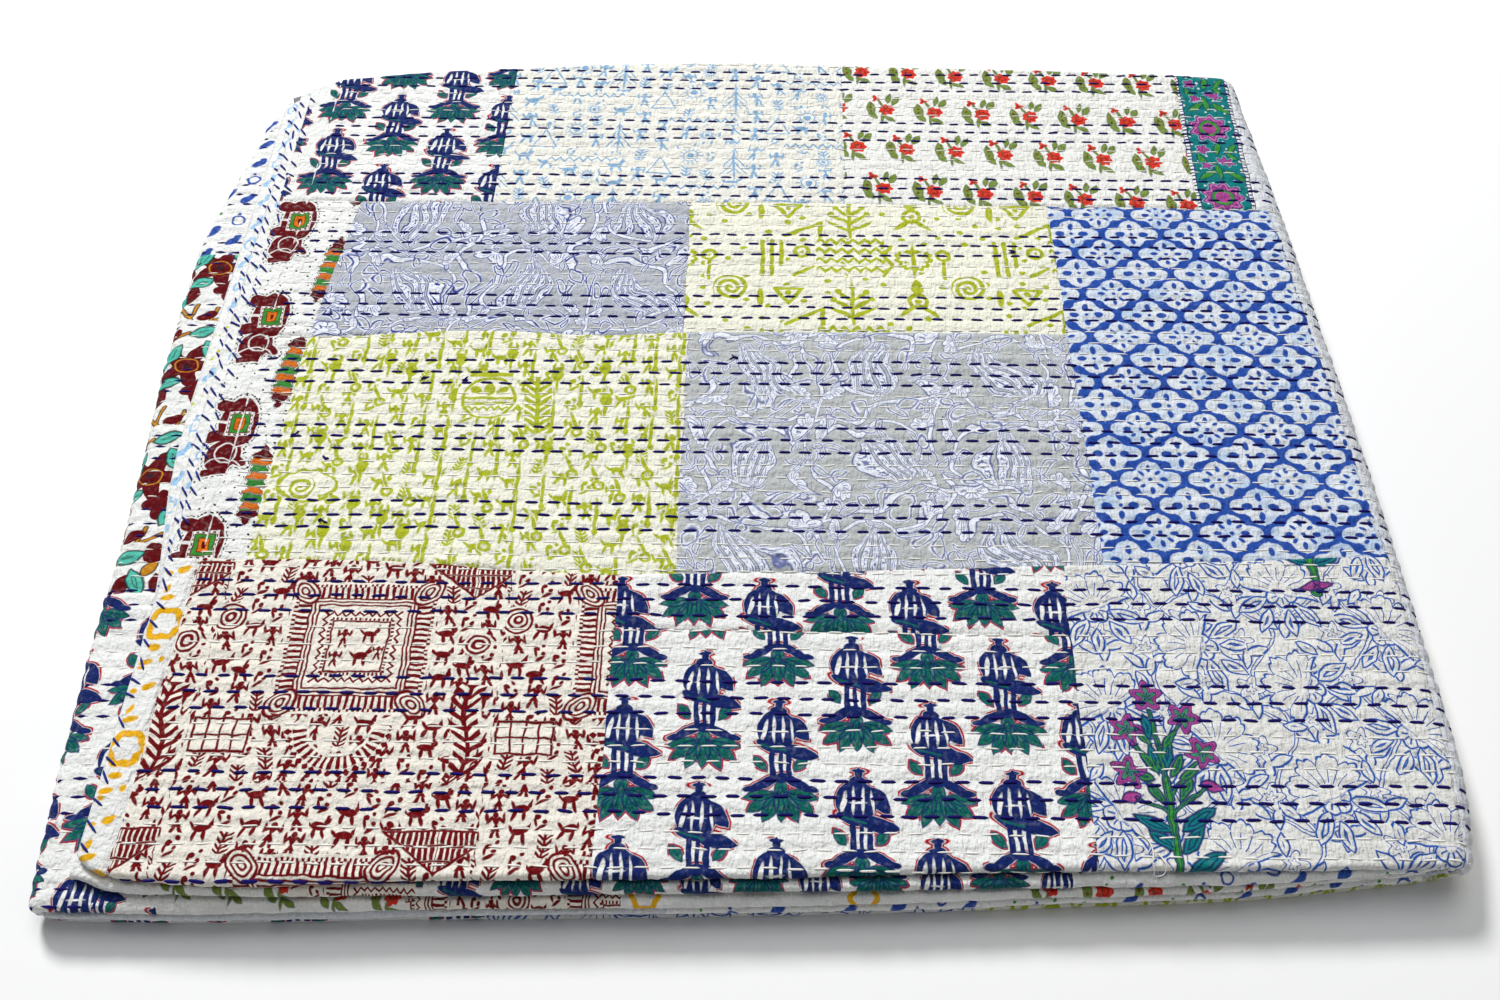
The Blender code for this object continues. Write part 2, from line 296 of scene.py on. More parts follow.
def add_mesh(name, points, faces, flat=None):
    """A new object from points and quads or triangles, with the cloth's (u, v) as its UV map."""
    mesh = bpy.data.meshes.new(name)
    mesh.vertices.add(len(points))
    mesh.vertices.foreach_set("co", np.ascontiguousarray(points, np.float32).ravel())
    corners = faces.shape[1]
    mesh.loops.add(faces.size)
    mesh.loops.foreach_set("vertex_index", faces.ravel().astype(np.int32))
    mesh.polygons.add(len(faces))
    mesh.polygons.foreach_set("loop_start", np.arange(0, faces.size, corners, dtype=np.int32))
    mesh.polygons.foreach_set("use_smooth", np.ones(len(faces), bool))
    if flat is not None:
        layer = mesh.uv_layers.new(name="cloth")
        layer.uv.foreach_set("vector", np.ascontiguousarray(flat[faces.ravel()], np.float32).ravel())
    mesh.update(calc_edges=True)
    mesh.validate()
    piece = bpy.data.objects.new(name, mesh)
    bpy.context.scene.collection.objects.link(piece)
    return piece


def facing_out(faces, home):
    """The faces with their fronts outwards: the underside is laid mirror-wise, so its faces are turned."""
    return faces[:, ::-1] if home == "under" else faces


def grid_faces(rows, columns):
    """Quads between the points of a grid, given in rows."""
    first = (np.arange(rows - 1)[:, None] * columns + np.arange(columns - 1)[None]).ravel()
    return np.stack((first, first + 1, first + columns + 1, first + columns), axis=1)


def add_sheet(name, home, u, v, points, shift=0.0, scale=1.0):
    """A sheet through a grid of points. Its UV map is (u, v), shifted along u and scaled for its print."""
    flat = np.stack((u + shift, v), axis=-1).reshape(-1, 2) * (MM * scale)
    return add_mesh(name, points.reshape(-1, 3), facing_out(grid_faces(*u.shape), home), flat)


# The body of the cloth, whose printed side lies a little under the patches
COVER = 0.8  # how far it lies under them
A_STEPS, PLY_STEPS, ROUND_STEPS = 28, 10, 8
TOP_SHARES = np.concatenate((np.linspace(0, 0.06, 6), np.linspace(0.08, 1, 28)))
MIDDLE_SHARES = np.concatenate((np.linspace(0.01, 0.09, 8), np.linspace(0.12, 1, 10)))
HALFWAY = 350.0  # where the rings of the right part meet those of the left
NEAR_BACK = DEPTH - 30  # where the places across a ply are taken for its back end
SHARP_EDGE = 50  # degrees


def ply_outline():
    """One pack's outline: shares of the depth, own depths, heights, plies and lips, in order."""
    half = CLOTH / 2
    outside, inside = PLY_PITCH / 2 + half, PLY_PITCH / 2 - half
    rows = []

    def run(ply, height, start, end, steps, under):
        rows.extend((share, 0.0, height, ply, under) for share in np.linspace(start, end, steps + 1))

    def turn(share, middle, radius, start, end, ply, under):
        angles = np.linspace(start, end, ROUND_STEPS + 1)[1:-1]
        rows.extend((share, radius * cos(a), middle + radius * sin(a), ply, under) for a in angles)

    up, down = pi / 2, 3 * pi / 2
    run("A", PACK_HALF - COVER, 1, 0, A_STEPS, False)
    turn(0, PLY_PITCH, outside - COVER, up, down, "A", False)
    run("B", inside, 0, 1, PLY_STEPS, False)
    turn(1, 0, inside, up, -up, "C", False)
    run("C", -inside - COVER, 1, 0, PLY_STEPS, True)
    turn(0, -PLY_PITCH, outside - COVER, up, down, "D", True)
    run("D", -PACK_HALF, 0, 1, PLY_STEPS, True)
    run("D", CLOTH - PACK_HALF, 1, 0, PLY_STEPS, True)
    turn(0, -PLY_PITCH, inside, down, up, "D", True)
    run("C", -outside, 0, 1, PLY_STEPS, True)
    turn(1, 0, outside, -up, up, "C", False)
    run("B", outside, 1, 0, PLY_STEPS, False)
    turn(0, PLY_PITCH, inside, down, up, "A", False)
    run("A", PACK_HALF - CLOTH, 0, 1, A_STEPS, False)
    return rows


def right_turned(y, ply):
    """u where the cloth has gone round the right fold."""
    return right_centre(y) + pi * RIGHT_OUTSIDE


def right_half(y, ply):
    """u of the halfway place, reached round the right fold."""
    return 2 * right_centre(y) + pi * RIGHT_OUTSIDE - HALFWAY


def left_half(y, ply):
    """u of the halfway place, reached round the left fold."""
    return 2 * left_centre(y) - pi * LEFT_OUTSIDE - HALFWAY


def left_turned(y, ply):
    """u where the cloth has gone round the left fold."""
    return left_centre(y) - pi * LEFT_OUTSIDE


def cloth_ring(outline, home, start, end, share):
    """The outline at a share of the way from start to end, which are places for a depth and a ply."""
    share_y, own, height, ply, under = (np.array(column) for column in zip(*outline))

    def across(y):
        u = [start(y, name) + share * (end(y, name) - start(y, name)) for name in "ABCD"]
        return np.select([ply == name for name in "ABCD"], u)

    at_front = across(np.zeros(len(ply)))
    front = np.where(under, lip_centre(home, at_front, True), lip_centre(home, at_front))
    y = front + share_y * (back_end(home, across(np.full(len(ply), NEAR_BACK))) - front) + own
    x, z = round_folds(home, across(y), y, height)
    return in_frame(x, y, z)


def cloth_rings():
    """The outlines from the top hem round both folds to the middle pack's end."""
    stretches = (  # home, start, end, shares
        ("top", hem_edge, lambda y, ply: right_centre(y), TOP_SHARES),
        ("top", lambda y, ply: right_centre(y), right_turned, np.linspace(0, 1, 14)[1:]),
        ("top", right_turned, right_half, np.linspace(0, 1, 11)[1:-1]),
        ("left", left_half, left_turned, np.linspace(0, 1, 12)),
        ("left", left_turned, lambda y, ply: left_centre(y), np.linspace(0, 1, 12)[1:]),
        ("left", lambda y, ply: left_centre(y), lambda y, ply: MIDDLE_END + 0 * y, MIDDLE_SHARES),
    )
    outline = ply_outline()
    return np.array([cloth_ring(outline, *ends, share) for *ends, shares in stretches for share in shares])


def make_cloth():
    """The whole folded cloth as one closed body."""
    rings = cloth_rings()
    count, size = rings.shape[:2]
    first = (np.arange(count - 1)[:, None] * size + np.arange(size)[None]).ravel()
    second = (np.arange(count - 1)[:, None] * size + (np.arange(size)[None] + 1) % size).ravel()
    faces = np.stack((first, second, second + size, first + size), axis=1)
    half = size // 2
    near, far = np.arange(half), size - 1 - np.arange(half)
    end = np.stack((near[:-1], near[1:], far[1:], far[:-1]), axis=1)
    faces = np.concatenate((faces, end[:, ::-1], end + (count - 1) * size))
    cloth = add_mesh("cloth", rings.reshape(-1, 3), faces)
    bpy.ops.object.select_all(action="DESELECT")
    cloth.select_set(True)
    bpy.context.view_layer.objects.active = cloth
    bpy.ops.object.shade_smooth_by_angle(angle=radians(SHARP_EDGE))
    return cloth


# The patchwork. An upright seam is given by places along it, and so is a level one.
UPRIGHT = {  # (v, u)
    "crease": ((0, 0), (660, 0)),
    "village_trees": ((0, 261), (189, 262)),
    "trees_floral": ((0, 533.5), (189, 537.5)),
    "elephants": ((189, 29), (381, 31), (513, 43)),
    "lime_grey": ((189, 297), (381, 297)),
    "grey_lime": ((381, 294), (513, 294)),
    "ogee": ((189, 563), (513, 565)),
    "trees_figures": ((513, 143), (680, 145)),
    "figures_flowers": ((513, 412), (680, 413)),
    "flowers_teal": ((513, 680), (600, 683.5), (680, 690)),
    "teal_plain": ((513, 727), (600, 728.5), (680, 732)),
    "under_first": ((0, 200), (660, 203)),
    "under_second": ((0, 470), (660, 468)),
    "print_end": ((0, 735), (101, 742), (169, 743), (243, 740), (326, 739), (419, 736), (513, 734),
                  (680, 733)),
}
LEVEL = {  # (u, v)
    "tuck": ((250, 143), (400, 142), (545, 141)),
    "four": ((-30, 188.5), (110, 188.5), (200, 183), (262, 180), (300, 182), (400, 185), (530, 190),
             (640, 195), (740, 200)),
    "three": ((-40, 375), (40, 375.5), (150, 381.5), (240, 378.5), (300, 381.5), (565, 382)),
    "two": ((-40, 512), (300, 514), (740, 512)),
    "under_front": ((-130, 182), (300, 184), (760, 183)),
    "under_back": ((-130, 420), (300, 422), (760, 420)),
    "left_front": ((-130, 171), (20, 171)),
    "left_back": ((-130, 467), (20, 467)),
}
PATCHES = (  # name, print, home, left, right, front, back
    ("hem_rings", "rings", "top", "hem", "crease", "lip", "four"),
    ("front_village", "village", "top", "crease", "village_trees", "lip", "four"),
    ("front_trees", "trees", "top", "village_trees", "trees_floral", "lip", "tuck"),
    ("tucked_trees", "trees_shifted", "top", "village_trees", "trees_floral", "tuck", "four"),
    ("front_floral", "floral", "top", "trees_floral", "print_end", "lip", "four"),
    ("elephants_front", "elephants", "top", "hem", "elephants", "four", "three"),
    ("lime_front", "lime_crowd", "top", "elephants", "lime_grey", "four", "three"),
    ("grey_front", "pale_vine", "top", "lime_grey", "ogee", "four", "three"),
    ("elephants_back", "elephants", "top", "hem", "elephants", "three", "two"),
    ("grey_back", "grey_vine", "top", "elephants", "grey_lime", "three", "two"),
    ("lime_back", "lime_signs", "top", "grey_lime", "ogee", "three", "two"),
    ("ogee_lattice", "ogee", "top", "ogee", "print_end", "four", "two"),
    ("back_trees", "trees", "top", "hem", "trees_figures", "two", "end"),
    ("back_figures", "figures", "top", "trees_figures", "figures_flowers", "two", "end"),
    ("back_flowers", "red_flowers", "top", "figures_flowers", "flowers_teal", "two", "end"),
    ("back_teal", "teal", "top", "flowers_teal", "teal_plain", "two", "end"),
    ("side_plain_front", "plain", "top", "print_end", "round_right", "lip", "two"),
    ("side_plain_back", "plain", "top", "teal_plain", "round_right", "two", "end"),
    ("left_trees", "trees_left", "left", "round_left", "under_hem", "lip", "left_front"),
    ("left_floral", "maroon_floral", "left", "round_left", "under_hem", "left_front", "left_back"),
    ("left_blobs", "blue_blobs", "left", "round_left", "under_hem", "left_back", "end"),
)
UNDER_SEAMS = ("under_left", "under_first", "under_second", "round_right")
UNDER_ROWS = ("lip", "under_front", "under_back", "end")
UNDER_GRID = (  # names and prints from left to right, the front row first
    (("trees", "trees"), ("floral", "floral"), ("lime", "lime_crowd")),
    (("ogee", "ogee"), ("village", "village"), ("grey", "grey_vine")),
    (("figures", "figures"), ("flowers", "red_flowers"), ("signs", "lime_signs")),
)
UNDER_PATCHES = [
    ("under_" + name, print_name, "under", *UNDER_SEAMS[i:i + 2], *UNDER_ROWS[j:j + 2])
    for j, row in enumerate(UNDER_GRID) for i, (name, print_name) in enumerate(row)
]
UNDER_STEP = 4.5
PRINT_OFFSETS = {"top": 0, "left": 900, "under": 1700}  # of u, so that no two packs pucker alike
UNDER_RISE, UNDER_SINK = 0.4, 0.55
LIPS = (  # name, print, home, whether it is the lower lip, left, right
    ("lip_two_hem", "rings", "top", True, -22, 24),
    ("lip_two_flowers", "red_flowers", "top", True, 24, 98),
    ("lip_two_white", "village", "top", True, 98, 166),
    ("lip_two_trees", "trees_left", "top", True, 166, 520),
    ("lip_two_blobs", "blue_blobs", "top", True, 520, 762),
    ("lip_three_trees", "trees_left", "left", False, -9, 26),
    ("lip_three_flowers", "red_flowers", "left", False, 26, 160),
    ("lip_three_plain", "village", "left", False, 160, 276),
    ("lip_three_rings", "rings", "left", False, 276, 492),
    ("lip_three_red", "red_flowers", "left", False, 492, 716),
    ("lip_four_left", "plain", "left", True, -64, 300),
    ("lip_four_right", "blue_blobs", "left", True, 300, 716),
    ("lip_five_left", "grey_vine", "under", True, -64, 330),
    ("lip_five_right", "plain", "under", True, 330, 762),
)
LIP_REACH = 7.0  # how far a lip's strip goes in between the plies
LIP_PRINT, LIP_SHIFT = 1.35, 60.0  # the prints on the lips are this much finer, and moved along u
LIP_OFFSET = 311  # of u, so that a lip doesn't pucker like the patch over it
PLY_STRIPS = (  # name, print, ply, the ply over it, height of its top, v where it starts
    ("strip_two", "light_blobs", "B", "A", 2.625, 112),
    ("strip_three", "light_blobs", "C", "B", -0.425, 118),
    ("strip_four", "light_blobs", "D", "C", -3.475, 124),
)
STEP = 2.0  # between a patch's points
LIP_STEPS = 12
LIP_TURN = 3.3  # how far round a front lip a patch goes, in radians
SEAM_SINK, SEAM_WIDTH = 0.6, 1.2
HEM_ROLL = 2.0
CREASE_DEPTH, CREASE_WIDTH = 1.7, 1.3
HEM_BULGE = 0.75
HEM_ENDS = -2.0, 1.5  # the two u between which the hem's strip ends
NEAR_SEAM = 0.9  # from a patch's edge to its second row of points
SAMPLE_U = np.array(300.0)  # where a patch's depth is first measured
UNDER_HEM = 12  # how far in under the top hem the left pack's patches go
PRESSED_FLAT = 0.8  # the most that the cloth rises between two plies


def seam_wander(name, places):
    """How far a seam strays from its curve."""
    return 0.7 * noise(places, 0 * places, 31.0, 9.0, SEED + len(name))


def upright(name, v):
    """The place across the quilt of an upright seam or edge."""
    if name == "hem":
        return hem_edge(v)
    if name == "round_right":
        return right_centre(v) + RIGHT_OUTSIDE * pi / 2
    if name == "round_left":
        return left_centre(v) - pi * LEFT_OUTSIDE
    if name == "under_left":
        return left_centre(v)
    if name == "under_hem":
        return hem_edge(v) + UNDER_HEM
    return curve(UPRIGHT[name], v) + seam_wander(name, v)


def level(name, home, u):
    """The place from front to back of a level seam or edge."""
    if name == "lip":
        return lip_centre(home, u)
    if name == "end":
        return back_end(home, u)
    return curve(LEVEL[name], u) + seam_wander(name, u)


def patch_places(home, left, right, front, back, step):
    """The (u, v) of a patch's grid of points, in rows from its front to its back."""
    near = np.array([0.0, NEAR_SEAM])
    middle_v = 0.5 * (level(front, home, SAMPLE_U) + level(back, home, SAMPLE_U))
    width = upright(right, middle_v) - upright(left, middle_v)
    middle_u = 0.5 * (upright(left, middle_v) + upright(right, middle_v))
    depth = level(back, home, middle_u) - level(front, home, middle_u)

    def shares(length):
        inner = np.linspace(0, length, max(2, round(length / step)) + 1)[1:-1]
        return np.concatenate((near, inner, length - near[::-1])) / length

    across, along = np.meshgrid(shares(width), shares(depth))
    v = level(front, home, middle_u) + along * depth
    for _ in range(3):
        u = upright(left, v) + across * (upright(right, v) - upright(left, v))
        v = level(front, home, u) + along * (level(back, home, u) - level(front, home, u))
    if front == "lip":
        turns = np.linspace(LIP_TURN, 0, LIP_STEPS + 1)[:-1, None] * LIP_RADIUS
        u = np.concatenate((np.repeat(u[:1], LIP_STEPS, axis=0), u))
        v = np.concatenate((v[:1] - turns, v))
    return u, v


def hem_shape(u, v, rise):
    """The turned strip along the open edge: a crease, a soft bulge and a rolled edge."""
    inwards = u - hem_edge(v)
    strip = 1 - ease(u, *HEM_ENDS)
    bulge = HEM_BULGE + 0.45 * noise(v, u, 9.0, 14.0, SEED + 21)
    bulge = bulge + 0.3 * noise(v, u, 4.6, 7.0, SEED + 22)
    crease = CREASE_DEPTH * near_line(u, CREASE_WIDTH)
    roll = (HEM_ROLL + 0.6) * rolled(inwards, 2.4)
    return rise * (1 - strip) + bulge * strip - crease - roll


def pressed(home, u, v, rise):
    """The relief of a side of the quilt, pressed flat where it lies on the floor."""
    if home == "left":
        share = ease((left_centre(v) - u) / LEFT_OUTSIDE, pi / 2, 0.9 * pi)
    elif home == "under":
        share = 1 - ease((u - right_centre(v)) / RIGHT_OUTSIDE, 0.1, pi / 2)
    else:
        return rise
    return rise * (1 - share) + share * (UNDER_RISE * np.clip(rise, 0, 1.2) - UNDER_SINK)


def patch_rise(home, left, right, front, back, u, v):
    """How far the patch's points stand above the cloth."""
    rise = relief(u + PRINT_OFFSETS[home], v)
    if home == "top" and left in ("hem", "crease"):
        rise = hem_shape(u, v, rise)
    seams = []
    if left not in ("hem", "crease", "round_left", "under_left"):
        seams.append(u - upright(left, v))
    if right != "crease":
        seams.append(upright(right, v) - u)
    if front != "lip":
        seams.append(v - level(front, home, u))
    if back == "end":
        rise = rise - (HEM_ROLL + 0.4) * rolled(back_end(home, u) - v, HEM_ROLL)
    else:
        seams.append(level(back, home, u) - v)
    for distance in seams:
        rise = rise - SEAM_SINK * near_line(distance, SEAM_WIDTH)
    if home == "left":
        rise = np.where(u > hem_edge(v, "D"), np.minimum(rise, PRESSED_FLAT), rise)
    return pressed(home, u, v, rise)


def make_patch(name, home, *edges, step):
    """One patch, laid on the cloth and pressed into its quilting."""
    u, v = patch_places(home, *edges, step=step)
    points = lay(home, u, v, patch_rise(home, *edges, u, v))
    piece = add_sheet("patch_" + name, home, u, v, points)
    width, depth = np.ptp(u, axis=1).mean() * MM, np.ptp(v, axis=0).mean() * MM
    return piece, (width, depth)


def make_lip(name, home, under, left, right):
    """A strip of cloth round a front lip, reaching in between the plies."""
    across = np.linspace(left, right, round((right - left) / STEP) + 1)
    turns = np.linspace(LIP_TURN * LIP_RADIUS, 0, LIP_STEPS + 1)
    turns = np.concatenate((turns, (-LIP_REACH / 2, -LIP_REACH)))
    u, turn = np.meshgrid(across, turns)
    v = lip_centre(home, u, under) - turn
    inside = ease(-turn, -1.0, 2.5)
    rise = relief(u + PRINT_OFFSETS[home] + LIP_OFFSET, v)
    points = lay(home, u, v, rise * (1 - inside) + 0.2 * inside, under)
    piece = add_sheet(name, home, u, v, points, LIP_SHIFT, LIP_PRINT)
    return piece, ((right - left) * MM, float(np.ptp(turns)) * MM)


STRIP_REACH = 6.0  # how far the hem of a lower ply goes in under the one over it
STRIP_ROWS, STRIP_COLUMNS = 270, 12


def make_strip(name, ply, over, height, start):
    """The hem of a lower ply, where it slips out from under the one over it."""
    v = np.linspace(start, back_end("top", -30.0), STRIP_ROWS)[:, None]
    inner = hem_edge(v, over) + STRIP_REACH
    outer = hem_edge(v, ply)
    u = outer + np.linspace(0, 1, STRIP_COLUMNS)[None] * (inner - outer)
    v = v + 0 * u
    inwards = u - outer
    rise = 0.55 + 0.4 * noise(v, u, 8.0, 12.0, SEED + ord(ply)) + 0.2 * noise(v, u, 4.0, 6.0, SEED + 31)
    roll = (HEM_ROLL + 0.2) * rolled(inwards, 2.2)
    rise = np.where(u > hem_edge(v, over), 0.3, rise) - roll
    piece = add_sheet(name, "top", u, v, lay_flat("top", u, v, height + rise))
    return piece, (float(np.ptp(u, axis=1).mean()) * MM, float(np.ptp(v)) * MM)


# Stitches, all laid down as copies of one short piece of thread
THREAD_WIDTH, THREAD_RISE = 1.85, 0.72
THREAD_TAPER = 0.45
ARCH, DIP, FULLNESS = 0.9, 0.25, 1.4  # a stitch's arch, how far it is drawn down, and its own height
THREAD_CUTS = (-0.28, 0.28)  # where a unit thread bends
WHITE_SHARE = 0.62  # of the navy thread's thickness
UNDER_THREAD, UNDER_THREAD_SINK = 0.5, 0.3
LENGTH_SPREAD, PITCH_SPREAD, TILT_SPREAD, LINE_SPREAD = 0.55, 0.55, 0.045, 0.18


def thread_shape(sides, cuts):
    """One stitch along X, a unit long and wide: its points and its triangles."""
    bpy.ops.object.select_all(action="DESELECT")
    bpy.ops.mesh.primitive_cylinder_add(vertices=sides, radius=0.5, depth=1, end_fill_type="NGON",
                                        rotation=(0, pi / 2, 0))
    thread = bpy.context.object
    bpy.ops.object.transform_apply(rotation=True)
    bpy.ops.object.mode_set(mode="EDIT")
    for cut in cuts:
        bpy.ops.mesh.select_all(action="SELECT")
        bpy.ops.mesh.bisect(plane_co=(cut, 0, 0), plane_no=(1, 0, 0))
    bpy.ops.mesh.select_all(action="SELECT")
    bpy.ops.mesh.quads_convert_to_tris()
    bpy.ops.object.mode_set(mode="OBJECT")
    points = np.array([v.co for v in thread.data.vertices])
    ends = np.abs(points[:, 0]) > 0.45
    points[ends, 1:] *= THREAD_TAPER
    faces = np.array([p.vertices for p in thread.data.polygons])
    mesh = thread.data
    bpy.data.objects.remove(thread)
    bpy.data.meshes.remove(mesh)
    return points, faces


def stitch_places(rows, starts, ends, seed):
    """Middles, lengths and tilts of the running stitches along some lines."""
    chance = np.random.default_rng(seed)
    found = []
    for row in rows:
        u = starts + chance.uniform(0, STITCH_PITCH)
        while u < ends:
            length = chance.normal(STITCH_LENGTH, LENGTH_SPREAD)
            found.append((u, LINES[row], length, chance.normal(0, TILT_SPREAD), row))
            u += chance.normal(STITCH_PITCH, PITCH_SPREAD)
    u, v, length, tilt, row = np.array(found).T
    v = v + row_wander(u, row) + chance.normal(0, LINE_SPREAD, len(u))
    return u, v, length, tilt


def spread(thread, u, v, length, tilt, width):
    """A thread's points at each place on the cloth: their u, their v and how high they arch."""
    points, _ = thread
    along, beside = points[None, :, 0], points[None, :, 1]
    a, b = along * length, beside * width
    at_u, at_v = u + a * np.cos(tilt) - b * np.sin(tilt), v + a * np.sin(tilt) + b * np.cos(tilt)
    return at_u, at_v, 1 - (2 * np.abs(along)) ** 4


def add_threads(name, home, thread, laid):
    """One piece of many copies of a thread, whose points are given copy by copy."""
    points, faces = thread
    offsets = np.arange(len(laid))[:, None, None] * len(points)
    return add_mesh(name, laid.reshape(-1, 3), facing_out((faces[None] + offsets).reshape(-1, 3), home))


def lay_stitches(name, thread, home, places, rise_of, width, thick):
    """Copies of the thread at each place, bent over the cloth and drawn down at both ends."""
    u, v, arch = spread(thread, *(column[:, None] for column in places), width)
    rise = rise_of(u, v) + thick * (ARCH * arch - DIP + thread[0][None, :, 2] * FULLNESS)
    return add_threads(name, home, thread, lay(home, u, v, rise))


# Finishes
class Value:
    """A number or a vector at a node's socket. Arithmetic on it adds Math nodes to its material."""

    def __init__(self, finish, socket):
        self.finish, self.socket = finish, socket

    def maths(self, operation, *others, clamp=False):
        settings = {"operation": operation, "use_clamp": clamp}
        return self.finish.add("Math", settings, dict(enumerate((self, *others))))

    def times(self, factor, plus, clamp=False):
        return self.maths("MULTIPLY_ADD", factor, plus, clamp=clamp)

    def within(self, other):
        """One shape where it lies in another, from their distances; of two numbers, the larger."""
        return self.maths("MAXIMUM", other)

    def fold(self, span):
        """Up from 0 to span and down again, over and over."""
        return self.maths("PINGPONG", span)

    def above(self, limit):
        return self.maths("GREATER_THAN", limit)

    def below(self, limit):
        return self.maths("LESS_THAN", limit)

    def sine(self):
        return self.maths("SINE")

    def length(self):
        return self.vector("LENGTH", out="Value")

    def vector(self, operation, *others, out="Vector"):
        return self.finish.add("VectorMath", {"operation": operation}, dict(enumerate((self, *others))), out)

    def __add__(self, other):
        return self.maths("ADD", other)

    __radd__ = __add__

    def __sub__(self, other):
        return self.maths("SUBTRACT", other)

    def __rsub__(self, other):
        return self.finish.add("Math", {"operation": "SUBTRACT"}, {0: other, 1: self})

    def __mul__(self, other):
        return self.maths("MULTIPLY", other)

    __rmul__ = __mul__

    def __truediv__(self, other):
        return self.maths("DIVIDE", other)

    def __neg__(self):
        return self * -1

    def __abs__(self):
        return self.maths("ABSOLUTE")


MATT = 0.9  # the roughness of a finish, unless it says otherwise


class Finish:
    """A material under construction, round one Principled shader."""

    def __init__(self, name, roughness=MATT):
        self.material = bpy.data.materials.new(name)
        self.material.use_nodes = True
        self.tree = self.material.node_tree
        self.shader = self.tree.nodes["Principled BSDF"]
        self.shader.inputs["Roughness"].default_value = roughness
        self.shader.inputs["Specular IOR Level"].default_value = 0.1
        self.shader.inputs["Sheen Weight"].default_value = 0.03

    def add(self, kind, settings, inputs, out=0):
        """A new node of a kind, with its settings and its sockets' values or links; returns one output."""
        node = self.tree.nodes.new("ShaderNode" + kind)
        for name, setting in settings.items():
            setattr(node, name, setting)
        for name, given in inputs.items():
            if isinstance(given, Value):
                self.tree.links.new(given.socket, node.inputs[name])
            else:
                node.inputs[name].default_value = given
        return Value(self, node.outputs[out])

    def feed(self, name, value):
        self.tree.links.new(value.socket, self.shader.inputs[name])


def colour(red, green, blue):
    """A colour from its screen values of 0 to 255."""
    def linear(part):
        part /= 255
        return part / 12.92 if part <= 0.04045 else ((part + 0.055) / 1.055) ** 2.4

    return linear(red), linear(green), linear(blue), 1.0


def mix(share, under, over):
    """One colour over another by a share."""
    finish = share.finish
    return finish.add("Mix", {"data_type": "RGBA"}, {0: share, 6: under, 7: over}, 2)


def parts(at):
    """The x and y of a place."""
    return tuple(at.finish.add("SeparateXYZ", {}, {0: at}, i) for i in (0, 1))


def join(x, y):
    finish = x.finish if isinstance(x, Value) else y.finish
    return finish.add("CombineXYZ", {}, {0: x, 1: y})


def scaled(vector, factor):
    return vector.finish.add("VectorMath", {"operation": "SCALE"}, {0: vector, 3: factor})


def speckle(at, scale, detail=2.0, dimensions="2D", out="Fac"):
    """Soft noise from 0 to 1, with scale in features a millimetre."""
    inputs = {"Vector": at, "Scale": scale, "Detail": detail}
    return at.finish.add("TexNoise", {"noise_dimensions": dimensions}, inputs, out)


def local(at, x, y, size=(1, 1), turn=0):
    """The place as seen from a motif's own middle, size and direction."""
    inputs = {"Vector": at, "Location": (x, y, 0), "Rotation": (0, 0, radians(turn)), "Scale": (*size, 1)}
    return at.finish.add("Mapping", {"vector_type": "TEXTURE"}, inputs)


def blob(at, x, y, long, wide=None, turn=0):
    """How far outside an oval a place is."""
    wide = wide or long
    return (local(at, x, y, (long, wide), turn).length() - 1) * min(long, wide)


def leaf(at, x, y, long, wide, turn=0):
    """How far outside a pointed leaf a place is. Its half length and half width are given."""
    a, b = parts(local(at, x, y, (long, wide), turn))
    return (a.times(a, abs(b)) - 1) * wide * 0.7


def stroke(at, x1, y1, x2, y2, width):
    """How far outside a straight stroke of the brush a place is."""
    middle = (x1 + x2) / 2, (y1 + y2) / 2
    length = float(np.hypot(x2 - x1, y2 - y1))
    turn = float(np.degrees(np.arctan2(y2 - y1, x2 - x1)))
    beside = local(at, *middle, turn=turn).vector("ABSOLUTE").vector("SUBTRACT", (length / 2, 0, 0))
    return beside.vector("MAXIMUM", (0, 0, 0)).length() - width / 2


def polar(own):
    """A place's angle round a motif's middle, and its distance from it."""
    a, b = parts(own)
    return b.maths("ARCTAN2", a), own.length()


def flower(at, x, y, count, radius, depth, turn=0):
    """How far outside a flower of round petals a place is."""
    angle, far = polar(local(at, x, y, turn=turn))
    return far - (angle * count).maths("COSINE").times(depth, radius)


def coil(own, pitch, half_line, radius):
    """How far outside the line of a spiral a place is."""
    angle, far = polar(own)
    return ((far - angle * (pitch / (2 * pi))).fold(pitch / 2) - half_line).within(far - radius)


def nearest(*distances):
    """The distance to the nearest of several shapes."""
    found = distances[0]
    for distance in distances[1:]:
        found = found.maths("MINIMUM", distance)
    return found


def inked(distance, soft):
    """How far the block's ink covers a place, from its distance to the shape."""
    return distance.times(-0.5 / soft, 0.5, clamp=True)


def outline(distance, width):
    return abs(distance) - width / 2


def repeat(at, wide, deep, drop=0):
    """The place in its own tile of a repeat, and the tile's number. Each column is set down by the drop."""
    x, y = parts(at)
    column = (x / wide).maths("ROUND")
    y = column.times(drop, y)
    row = (y / deep).maths("ROUND")
    return join(column.times(-wide, x), row.times(-deep, y)), join(column, row)


def cloth_place(finish, warp):
    """The place on the flat cloth in millimetres, with the small slips of a hand-printed block."""
    at = scaled(finish.add("UVMap", {"uv_map": "cloth"}, {}), 1 / MM)
    slip = speckle(at, 0.09, 2, out="Color").vector("SUBTRACT", (0.5, 0.5, 0.5))
    return at, at.vector("ADD", scaled(slip, warp * 2.2))


WEAVE = 0.62  # from thread to thread


